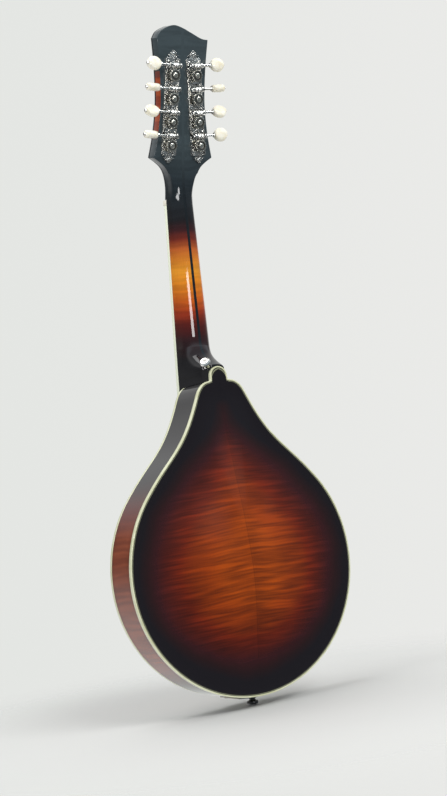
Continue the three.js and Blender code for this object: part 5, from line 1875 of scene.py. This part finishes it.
@dataclass
class TunerSet:
    """Four geared tuners on one engraved plate."""

    side: Side
    width: float = 16.5
    length: float = 111.0
    thickness: float = 1.2
    lobe_length: float = 9.0
    shift: float = 3.8
    gear_radius: float = 6.2
    gear_thickness: float = 3.0
    teeth: int = 14
    tooth: float = 1.0
    worm_offset: float = 9.7
    worm_height: float = 6.2
    worm_radius: float = 3.1
    worm_length: float = 7.4
    shaft: float = 1.4
    shaft_hole: float = 1.7
    bearing: float = 2.8
    reach: float = 24.0
    button_length: float = 14.0
    button_across: float = 14.0
    button_thickness: float = 8.0
    post_radius: float = 3.0

    @property
    def place(self) -> Place:
        """The set's frame: x outwards, y out of the peghead's back and z up."""
        middle, side = PLAN.post_foot + 1.5 * PLAN.post_spacing, self.side.value
        return PLAN.peghead.within(side * PLAN.post_aside, 0, middle, "Y", -side * PLAN.post_splay)

    @property
    def worm_y(self) -> float:
        """Height of the worm shafts over the front of the peghead."""
        return PLAN.peghead_thickness + self.worm_height

    @property
    def top(self) -> float:
        """Height of the plate's face over the front of the peghead."""
        return PLAN.peghead_thickness + PLAN.glue + self.thickness

    @property
    def heights(self) -> list[float]:
        """Where the four posts stand along the plate, from the nut upwards."""
        return [(number - 1.5) * PLAN.post_spacing for number in range(4)]

    def plate(self) -> Piece:
        """The plate with its lobed ends, bearing posts and bores.

        Returns:
            The plate.
        """
        place, half, top = self.place, self.width / 2, self.top
        straight = self.length / 2 - self.lobe_length
        shares = [(1, 0.04), (0.9, 0.14), (0.5, 0.2), (0.45, 0.34), (0.8, 0.44), (0.46, 0.54),
                  (0.42, 0.74), (0.2, 0.82), (0.24, 0.93), (0, 1)]
        lobe = [(1, 0)] + curve_through(shares, 34)
        upper = [(x * half, straight + z * self.lobe_length) for x, z in lobe]
        lower = [(x, self.shift - z) for x, z in reversed(upper)]
        right = lower + [(x, self.shift + z) for x, z in upper]
        base = PLAN.peghead_thickness + PLAN.hair
        whole = right + [(-x, z) for x, z in reversed(right[1:-1])]
        loop = [place.at(x, base, z) for x, z in whole]
        plate = BENCH.slab("tuner_plate_blank", loop, place.way(0, top - base, 0), 0.00025, 2)
        low, high = self.shift - straight + 1, self.shift + straight - 1
        ridge = top + 0.35
        for way in (-1, 1):
            corners = ((half - 1.5, low), (half - 0.5, low), (half - 0.5, high), (half - 1.5, high))
            rail = [place.at(way * x, top - 0.2, z) for x, z in corners]
            tool = BENCH.slab("rail", rail, place.way(0, ridge - top + 0.2, 0), 0.00015)
            BENCH.worked(plate, tool, Combine.JOIN)
        for along in self.heights:
            for way in (-1, 1):
                self.bearings(plate, way, along + self.worm_offset)
            bore = (-self.width, self.worm_y, along + self.worm_offset)
            BENCH.bored(plate, place, bore, self.shaft_hole, 2 * self.width, 20, "x")
            BENCH.bored(plate, place, (0, base - 3, along), PLAN.post_hole, 9, 24)
        plate.name = f"engraved_plate_{self.side.word}"
        BENCH.healed(plate)
        return plate

    def bearings(self, plate: Piece, way: int, height: float) -> None:
        """Adds one bearing post with its two rivets to the plate.

        Args:
            plate: The plate.
            way: 1 for the outer end of the worm and -1 for the inner.
            height: Where the worm's shaft crosses the plate.
        """
        place, top, boss = self.place, self.top, self.shaft + 1.4
        inner = way * (self.worm_length / 2 + PLAN.glue)
        arch = [(top - 0.3, -boss)] + [
            (self.worm_y + boss * math.sin(a), -boss * math.cos(a))
            for a in (math.pi * i / 16 for i in range(17))
        ] + [(top - 0.3, boss)]
        outline = [place.at(inner, y, height + z) for y, z in arch]
        block = BENCH.slab("bearing", outline, place.way(way * self.bearing, 0, 0), 0.0002)
        BENCH.worked(plate, block, Combine.JOIN)
        profile = [(0, -0.4), (1.1, -0.4), (1.1, 0.25), (0.95, 0.6), (0.55, 0.85), (0, 0.95)]
        for z in (-1, 1):
            foot = place.within(way * (self.worm_length / 2 + 1.7), top, height + z * (boss + 1.1))
            BENCH.worked(plate, turned("bearing_rivet", foot, "y", profile, 16), Combine.JOIN)

    def gear(self) -> Piece:
        """A gear wheel with its string post, drawn at the origin in metres.

        Returns:
            The model of the four.
        """
        outline = []
        tip, root = self.gear_radius, self.gear_radius - self.tooth
        for i in range(self.teeth):
            for radius, share in ((tip, -0.12), (tip, 0.12), (root, 0.36), (root, 0.64)):
                angle = -math.tau * (i + share) / self.teeth
                outline.append((radius * math.cos(angle), radius * math.sin(angle)))
        low = self.worm_y - self.gear_thickness / 2
        high = low + self.gear_thickness
        loop = [ORIGIN.at(x, low, z) for x, z in outline]
        gear = BENCH.slab("gear_blank", loop, ORIGIN.way(0, self.gear_thickness, 0), 0.00018)
        groove = turned("groove_tool", ORIGIN, "y", [
            (0, high + 1), (root - 0.6, high + 1), (root - 0.6, high - 0.9), (2.9, high - 0.9),
            (2.9, high - 0.01), (0, high - 0.01)], 32)
        BENCH.worked(gear, groove, Combine.CUT)
        hub, r = self.top + PLAN.glue, self.post_radius
        post = turned("post_blank", ORIGIN, "y", [
            (0, -11), (r - 0.5, -11), (r - 0.1, -10.8), (r, -10.4), (r, -8.2), (r - 0.4, -4.6),
            (r - 0.4, -2.6), (r, -1.6), (r, hub), (r + 1, hub), (r + 1, low + 0.3),
            (r - 0.8, low + 0.3), (r - 0.8, high - 0.2), (2.6, high - 0.2), (2.6, high + 0.35),
            (2.2, high + 0.7), (1.2, high + 0.88), (0, high + 0.9)], 32)
        BENCH.worked(gear, post, Combine.JOIN)
        corners = ((-3, -0.35), (3, -0.35), (3, 0.35), (-3, 0.35))
        slot = [ORIGIN.at(x, high + 0.35, z) for x, z in corners]
        BENCH.worked(gear, BENCH.slab("slot_tool", slot, ORIGIN.way(0, 2, 0)), Combine.CUT)
        BENCH.bored(gear, ORIGIN, (-6, -9.2, 0), 0.9, 12, 16, "x")
        # The distance from the axis places the painted shade of the sunken ring.
        radial = gear.data.attributes.new("radial_mm", "FLOAT", "POINT")
        distances = [math.hypot(v.co.x, v.co.z) / MM for v in gear.data.vertices]
        radial.data.foreach_set("value", distances)
        return gear

    def worm(self) -> Piece:
        """A worm with its shaft, collar and end cap, along +x at the origin.

        Returns:
            The model of the four.
        """
        half, inner = self.worm_length / 2, self.worm_length / 2 + 0.3 + self.bearing + 0.4
        start, end = self.reach - self.button_length / 2, self.reach + self.button_length / 2
        shaft, collar, pin = self.shaft, self.shaft + 0.9, self.shaft * 0.8
        before = [(0, -inner), (shaft - 0.2, -inner), (shaft, -inner + 0.2), (shaft, -half)]
        thread = [(None, -half + self.worm_length * i / 40) for i in range(41)]
        after = [(shaft, half), (shaft, start - 2), (collar - 0.2, start - 1.7),
                 (collar, start - 1.5), (collar, start - 0.5), (collar - 0.2, start - 0.05),
                 (pin, start - 0.05), (pin, end + 0.05), (collar * 0.9, end + 0.05),
                 (collar * 0.9, end + 0.5), (collar * 0.6, end + 1.1), (0, end + 1.2)]
        profile = before + thread + after
        pitch, depth, steps = self.worm_length / 3, 0.9, 24
        rings = []
        for radius, along in profile:
            loop = []
            ends = min(1.0, (half - abs(along)) / 0.5)
            for i in range(steps):
                phase = (along / pitch - i / steps) % 1.0
                crest = min(1.0, max(0.0, 1.6 - 4.2 * abs(phase - 0.5)))
                threaded = self.worm_radius - depth + depth * crest * ends
                r, angle = threaded if radius is None else radius, math.tau * i / steps
                loop.append(ORIGIN.at(along, r * math.cos(angle), r * math.sin(angle)))
            rings.append(loop)
        return BENCH.closed("worm_blank", rings[0][0], rings[1:-1], rings[-1][0])

    def button(self) -> Piece:
        """A flattened round button, along x at the origin.

        Returns:
            The model of the four.
        """
        shares = [(-1, 0.3), (-0.9, 0.5), (-0.68, 0.78), (-0.35, 0.96), (0.1, 1.0), (0.5, 0.9),
                  (0.8, 0.68), (0.96, 0.42), (1, 0.3)]
        sides, length = 36, self.button_length / 2
        rings = []
        for share, size in curve_through(shares, 26):
            loop = []
            for i in range(sides):
                angle = math.tau * i / sides
                c, s = math.cos(angle), math.sin(angle)
                round_off = (abs(c) ** 2.3 + abs(s) ** 2.3) ** (-1 / 2.3)
                thick = size**0.22 * c * round_off * self.button_thickness / 2
                wide = size * s * round_off * self.button_across / 2
                loop.append(ORIGIN.at(share * length, thick, wide))
            rings.append(loop)
        ends = [ORIGIN.at(way * length, 0, 0) for way in (-1, 1)]
        button = BENCH.closed("button_blank", ends[0], rings, ends[1])
        BENCH.bored(button, ORIGIN, (-20, 0, 0), 1.2, 40, 20, "x")
        return button

    def build(self) -> None:
        """Builds and finishes the set."""
        word, side, place = self.side.word, self.side.value, self.place
        BENCH.sent(self.plate(), ENGRAVED, f"tuner_plate_{word}")
        for number, z in ((1, -1), (2, 1)):
            for name, shift, along in (
                ("end", self.shift, self.length / 2 - 3.6), ("mid", -1.8, 17.2),
            ):
                seat = place.within(0, self.top, shift + z * along)
                screw = round_screw(f"plate_{name}_screw_{word}_{number}", seat, 1, 1.7)
                BENCH.sent(screw, NICKEL)
        gear, worm, button = self.gear(), self.worm(), self.button()
        mirror = Matrix.Scale(side, 4, (1, 0, 0))
        for number, along in enumerate(self.heights):
            end = f"{word}_{number + 1}"
            seat = place.within(0, 0, along, "Y", 10.0 * number)
            post = BENCH.copied(gear, f"toothed_post_{end}", seat.metres())
            BENCH.sent(post, GEARS, f"gear_post_{end}", body=f"post_{end}")
            axis = place.within(0, self.worm_y, along + self.worm_offset)
            shaft = BENCH.copied(worm, f"threaded_shaft_{end}", axis.metres() @ mirror)
            BENCH.sent(shaft, NICKEL, f"worm_shaft_{end}", body=f"button_{end}")
            tip = axis.within(side * self.reach, 0, 0, "X", BUTTON_TURNS[self.side][number])
            knob = BENCH.copied(button, f"cream_button_{end}", tip.metres())
            BENCH.sent(knob, PEARL, f"tuner_button_{end}", body=f"button_{end}")
        for piece in (gear, worm, button):
            bpy.data.objects.remove(piece)


# Strings, bridge and tail


@dataclass
class StringSet:
    """Eight strings and the bridge that carries them."""

    wound: tuple = ("d_inner", "d_outer", "g_inner", "g_outer")
    plain: tuple = ("e_outer", "e_inner", "a_outer", "a_inner")
    wheel_radius: float = 7.5
    wheel_thickness: float = 2.6
    wheel_bore: float = 1.9
    saddle_z: float = 157.2
    near: float = 5.0

    def bend(self, wire: Piece) -> tuple:
        """How far out a string lies where it rests on the saddle, and where it is fixed.

        Args:
            wire: The string, which is furthest out over the saddle.

        Returns:
            The saddle's body, and two points that mark where a bend to it would start and end.
        """
        points = [vertex.co for vertex in wire.data.vertices]
        saddle = [p.y for p in points if abs(p.z / MM - self.saddle_z) < self.near]
        fixed = [p.y for p in points if abs(p.z / MM - self.saddle_z) >= self.near]
        return "saddle", (0, min(fixed), 0), (0, max(saddle), 0)

    def build(self) -> None:
        """Builds and finishes strings, bridge and wheels."""
        for names, finish in ((self.plain, PLAIN_WIRE), (self.wound, WOUND_WIRE)):
            for name in names:
                piece = BENCH.traced(f"string_{name}", f"wire_{name}")
                BENCH.sent(piece, finish, f"string_{name}", bend=self.bend(piece))
        BENCH.kept("bridge_base", "footed_base", EBONY, 0.0003)
        BENCH.kept("bridge_saddle", "notched_saddle", EBONY, 0.0003, "saddle")
        half, r = self.wheel_thickness / 2, self.wheel_radius
        profile = [
            (0, -half), (r - 1.2, -half), (r - 0.25, -half + 0.25), (r, -half + 0.6),
            (r, half - 0.6), (r - 0.25, half - 0.25), (r - 1.2, half), (0, half),
        ]
        for side in Side:
            node = f"thumbwheel_{side.word}"
            low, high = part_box(node)
            place = Place(Matrix.Translation((low + high) / 2 / MM))
            wheel = turned(f"knurled_wheel_{side.word}", place, "y", profile, 72, 0.35)
            BENCH.bored(wheel, place, (0, -5, 0), self.wheel_bore, 10, 24)
            BENCH.sent(wheel, NICKEL, node, body=f"wheel_{side.word}")


@dataclass
class Fittings:
    """Tailpiece, end pin, strap button and pickguard."""

    pin_radius: float = 6.0
    pin_shank: float = 3.6
    button_radius: float = 5.4
    button_height: float = 9.0
    guard_start: float = 14.0
    guard_reach: float = 40.0
    guard_gap: float = 1.5
    guard_short: float = 9.2
    plate_foot: float = 3.7
    let_in: float = 0.3

    def strap_place(self) -> Place:
        """The strap button's frame, with y along its axis.

        Returns:
            The frame, in millimetres.
        """
        way = Vector((0.55, 0.62, 0.56)).normalized()
        turn = Vector((0, 1, 0)).rotation_difference(way).to_matrix().to_4x4()
        spot = Matrix.Translation((6.9, PLAN.rib_half - 4.7, PLAN.length + 15.4))
        return Place(PLAN.body.matrix @ spot @ turn)

    def pin(self) -> Piece:
        """The turned end pin.

        Returns:
            The pin.
        """
        r, s = self.pin_radius, self.pin_shank
        profile = [
            (0, -9.5), (r * 0.7, -9.5), (r * 0.86, -9.3), (r * 0.96, -8.7), (r, -7.9), (r, -6.6),
            (r * 0.95, -5.9), (r * 0.8, -5.45), (r * 0.62, -5.1), (r * 0.52, -4.6), (r * 0.5, -4.0),
            (r * 0.52, -3.4), (s * 1.12, -3.1), (s * 1.25, -2.7), (s * 1.25, -2.15), (s, -2.1),
            (s * 0.85, 18), (0, 18),
        ]
        return turned("turned_end_pin", PLAN.body, "z", profile, 48)

    def strap_button(self) -> None:
        """The turned strap button with its screw."""
        r, h, place = self.button_radius, self.button_height, self.strap_place()
        profile = [
            (0, 0), (r * 0.75, 0), (r * 0.74, h * 0.06), (r * 0.62, h * 0.18), (r * 0.53, h * 0.32),
            (r * 0.5, h * 0.48), (r * 0.54, h * 0.6), (r * 0.8, h * 0.68), (r * 0.97, h * 0.74),
            (r, h * 0.8), (r * 0.98, h * 0.88), (r * 0.88, h * 0.96), (r * 0.6, h), (0, h),
        ]
        button = turned("turned_strap_button", place, "y", profile, 48)
        bowl = [(0, h + 1), (2.6, h + 1), (2.6, h - 0.1), (2.2, h - 0.9), (0, h - 0.9)]
        BENCH.worked(button, turned("dish_tool", place, "y", bowl, 32), Combine.CUT)
        BENCH.sent(button, NICKEL, "heel_strap_button")
        screw = round_screw("strap_button_screw", place.within(0, h - 0.85, 0), 1, 1.6)
        BENCH.sent(screw, NICKEL)

    def guard(self) -> None:
        """The pickguard with its eased edge, on its two blocks."""
        neck, start, reach, foot = PLAN.neck, self.guard_start, self.guard_reach, self.plate_foot
        length = PLAN.scale - PLAN.free_neck - start - self.guard_short
        inner = PLAN.board_half(-start) + self.guard_gap
        shares = [(0, 0), (0.1, 0.04), (0.28, 0.18), (0.62, 0.4), (0.92, 0.62), (1, 0.78),
                  (0.86, 0.92), (0.5, 1)]
        outer = curve_through([(inner + x * reach, -start - z * length) for x, z in shares], 48)
        loop = outer + [(inner + reach * 0.14, -start - length)]
        outline = [neck.at(x, 1.6, z) for x, z in loop]
        plate = BENCH.slab("bevelled_guard", outline, neck.way(0, 2, 0), 0.0006, 3)
        blocks = BENCH.traced("pickguard", "guard_blocks")
        corners = [neck.at(x, -5, z) for x, z in ((0, -200), (90, -200), (90, 20), (0, 20))]
        front = BENCH.slab("guard_tool", corners, neck.way(0, 5 + foot, 0))
        BENCH.worked(blocks, front, Combine.CUT)
        way, level = neck.way(0, 1, 0), neck.at(0, foot, 0)
        for vertex in blocks.data.vertices:
            if abs((vertex.co - level).dot(way.normalized())) < 0.05 * MM:
                vertex.co -= way * self.let_in
        BENCH.sent(BENCH.gathered([plate, blocks]), BLACK, "pickguard")

    def build(self) -> None:
        """Builds and finishes the fittings."""
        BENCH.kept("tailpiece", "covered_tailpiece", NICKEL, 0.0003)
        BENCH.sent(self.pin(), BLACK, "end_pin")
        self.strap_button()
        self.guard()


FITTINGS = Fittings()


# The studio


@dataclass(frozen=True)
class Panel:
    """A soft lamp: its place, aim and size in metres, its watts and whether gloss shows it."""

    name: str
    spot: tuple
    aim: tuple
    size: tuple
    power: float
    mirrored: bool


@dataclass
class Studio:
    """Floor, light and the camera at the photograph's angle."""

    panels: tuple = (
        Panel("key_panel", (-0.3, 2.0, 1.9), (0, 0, 0.35), (1.4, 1.0), 42.0, False),
        Panel("side_panel", (1.8, 0.3, 1.9), (0, 0, 0.3), (1.2, 1.2), 14.0, False),
        Panel("top_panel", (0.5, -0.2, 2.3), (0, 0, 0.3), (1.2, 1.2), 14.0, True),
        Panel("strip_panel", (0.2, 1.5, 0.405), (0, 0, 0.405), (0.44, 0.165), 2.8, True),
    )
    glints: tuple = (
        Panel("high_glint", (-0.6, 1.3, 1.7), (0, 0, 0.6), (0.6, 0.6), 20.0, True),
        Panel("side_glint", (1.6, 0.95, 0.7), (0, 0, 0.6), (0.6, 1.3), 30.0, True),
    )
    floor_tones: tuple = (0xC4C5C3, 0xC8C9C7)
    wall_tones: tuple = (0xEBEBE9, 0xE4E6E3)
    floor_radius: float = 6.0
    floor_drop: float = 0.0006
    yaw: float = 0.54854
    pitch: float = -0.05664
    roll: float = 0.13904
    aside: float = 3.10196
    above: float = -116.63315
    distance: float = 1491.30
    focal_pixels: float = 1491.71
    aim_z: float = 189.5
    soft_front: float = 0.85
    soft_back: float = 0.5
    wall_levels: tuple = (
        (0.0, 0.9), (0.35, 1.1), (0.45, 0.7), (0.52, 0.3), (0.56, 0.17), (0.64, 0.2), (0.72, 0.8),
        (0.8, 0.75), (1.0, 0.6),
    )
    room_levels: tuple = (
        (0.0, 0.14), (0.5, 0.19), (0.59, 0.25), (0.62, 0.4), (0.665, 1.0), (0.73, 0.95),
        (0.8, 0.5), (1.0, 0.45),
    )
    room_tint: tuple = (0.86, 1.0, 1.1)
    sensor: float = 36.0
    picture_height: float = 796.0

    def camera(self) -> None:
        """Makes the camera."""
        sine, cosine = math.sin(self.pitch), math.cos(self.pitch)
        up = np.array([0, cosine, sine])
        out = np.array([
            math.sin(self.yaw), -sine * math.cos(self.yaw), cosine * math.cos(self.yaw)])
        tilt = np.array([
            [math.cos(self.roll), -math.sin(self.roll), 0],
            [math.sin(self.roll), math.cos(self.roll), 0],
            [0, 0, 1],
        ])
        seen = np.stack([-(tilt @ np.cross(up, out)), tilt @ out, tilt @ up], 1)
        shift = np.array([-self.aside, -self.above, self.distance])
        spot = np.array([0, 0, self.aim_z]) + seen.T @ shift
        data = bpy.data.cameras.new("photo_camera")
        data.sensor_width = self.sensor
        data.lens = self.focal_pixels * self.sensor / self.picture_height
        camera = bpy.data.objects.new("photo_camera", data)
        bpy.context.scene.collection.objects.link(camera)
        matrix = Matrix.Identity(4)
        for column in range(3):
            for row in range(3):
                matrix[row][column] = seen[column][row]
            matrix[column][3] = spot[column] * MM
        camera.matrix_world = matrix
        bpy.context.scene.camera = camera

    @staticmethod
    def lamp(panel: Panel, lit: Optional[bpy.types.Collection] = None) -> None:
        """Adds one soft lamp.

        Args:
            panel: The lamp.
            lit: The only pieces that it lights, or None for all.
        """
        data = bpy.data.lights.new(panel.name, "AREA")
        data.shape = "RECTANGLE"
        data.size, data.size_y = panel.size
        data.energy = panel.power
        lamp = bpy.data.objects.new(panel.name, data)
        lamp.visible_glossy = panel.mirrored
        bpy.context.scene.collection.objects.link(lamp)
        way = Vector(panel.aim) - Vector(panel.spot)
        turn = way.to_track_quat("-Z", "Y").to_matrix().to_4x4()
        lamp.matrix_world = Matrix.Translation(panel.spot) @ turn
        if lit:
            lamp.light_linking.receiver_collection = lit

    def floor(self) -> None:
        """The pale floor, which fades into the backdrop."""
        BENCH.free()
        bpy.ops.mesh.primitive_circle_add(
            vertices=96, radius=self.floor_radius, fill_type="NGON",
            location=(0, 0, -self.floor_drop),
        )
        floor = bpy.context.object
        floor.name = "studio_floor"
        graph = Graph("floor_paint")
        x, y, _ = graph.split(graph.place())
        reach = (x * x + y * y) ** 0.5
        mottle = graph.noise(graph.place(), 3.0, 3.0)
        paint = graph.node("ShaderNodeBsdfPrincipled", None, {
            "Base Color": graph.mixed(mottle, *map(srgb, self.floor_tones)), "Roughness": 0.8})
        clear = graph.node("ShaderNodeBsdfTransparent")
        mirrored = Signal(graph, graph.node("ShaderNodeLightPath").outputs["Is Glossy Ray"])
        blend = graph.node("ShaderNodeMixShader", None, {
            0: reach.eased(0.16, 0.5).most(mirrored), 1: paint.outputs[0], 2: clear.outputs[0]})
        graph.node("ShaderNodeOutputMaterial", None, {"Surface": blend.outputs[0]})
        floor.data.materials.append(graph.material)

    @staticmethod
    def grey(level: float, tint: tuple = (1.0, 1.0, 1.0)) -> Colour:
        """A grey of the level given, slightly tinted."""
        return (level * tint[0], level * tint[1], level * tint[2], 1.0)

    def backdrop(self) -> None:
        """The surroundings: a pale wall and table behind, and a dimmer room before them.

        The camera sees the pale wall all round. Gloss mirrors the wall, the table and the room,
        and the soft light comes from all sides.
        """
        world = bpy.data.worlds.new("studio")
        bpy.context.scene.world = world
        graph = Graph("studio", world)
        x, y, z = graph.split(graph.node("ShaderNodeTexCoord").outputs["Generated"])
        up = z * 0.5 + 0.5
        wall = graph.ramp(up, [(spot, self.grey(value)) for spot, value in self.wall_levels])
        cool = [(spot, self.grey(value, self.room_tint)) for spot, value in self.room_levels]
        room = graph.ramp(up, cool)
        shown = graph.mixed(x.eased(-0.75, -0.35), *map(srgb, self.wall_tones))
        behind = x.eased(-0.3, 0.0, 1.0, 0.0) * y.eased(-0.5, -0.2, 1.0, 0.0)
        mirrored = graph.mixed(behind, graph.mixed(y.eased(-0.3, 0.3), wall, room), shown)
        soft = graph.mixed(
            y.eased(-0.5, 0.5), self.grey(self.soft_front), self.grey(self.soft_back)
        )
        rays = graph.node("ShaderNodeLightPath").outputs
        clear = Signal(graph, rays["Is Transmission Ray"])
        gloss = Signal(graph, rays["Is Glossy Ray"]).most(clear)
        lit = graph.mixed(gloss, soft, mirrored)
        colour = graph.mixed(rays["Is Camera Ray"], lit, shown)
        sky = graph.node("ShaderNodeBackground", None, {0: colour, 1: 1.0})
        graph.node("ShaderNodeOutputWorld", None, {"Surface": sky.outputs[0]})

    def metal_light(self, finishes: Sequence[Finish]) -> None:
        """Two panels that only the plated pieces mirror.

        Args:
            finishes: The finishes of those pieces.
        """
        plated = bpy.data.collections.new("plated_pieces")
        names = [finish.name for finish in finishes]
        for piece in bpy.context.scene.objects:
            if piece.type == "MESH" and any(m and m.name in names for m in piece.data.materials):
                plated.objects.link(piece)
        for panel in self.glints:
            self.lamp(panel, plated)

    def build(self) -> None:
        """Sets up the studio."""
        self.camera()
        self.floor()
        self.backdrop()
        for panel in self.panels:
            self.lamp(panel)
        bpy.context.scene.view_settings.view_transform = "Standard"


def main() -> None:
    """Builds the studio and every sub-assembly in order."""
    logging.basicConfig(level=logging.INFO, format="%(name)s: %(message)s")
    studio = Studio()
    studio.build()
    BodyShell().build()
    NeckSet().build()
    for side in Side:
        TunerSet(side).build()
    StringSet().build()
    FITTINGS.build()
    studio.metal_light([NICKEL, ENGRAVED, GEARS])
    BENCH.free()


if __name__ == "__main__":
    main()
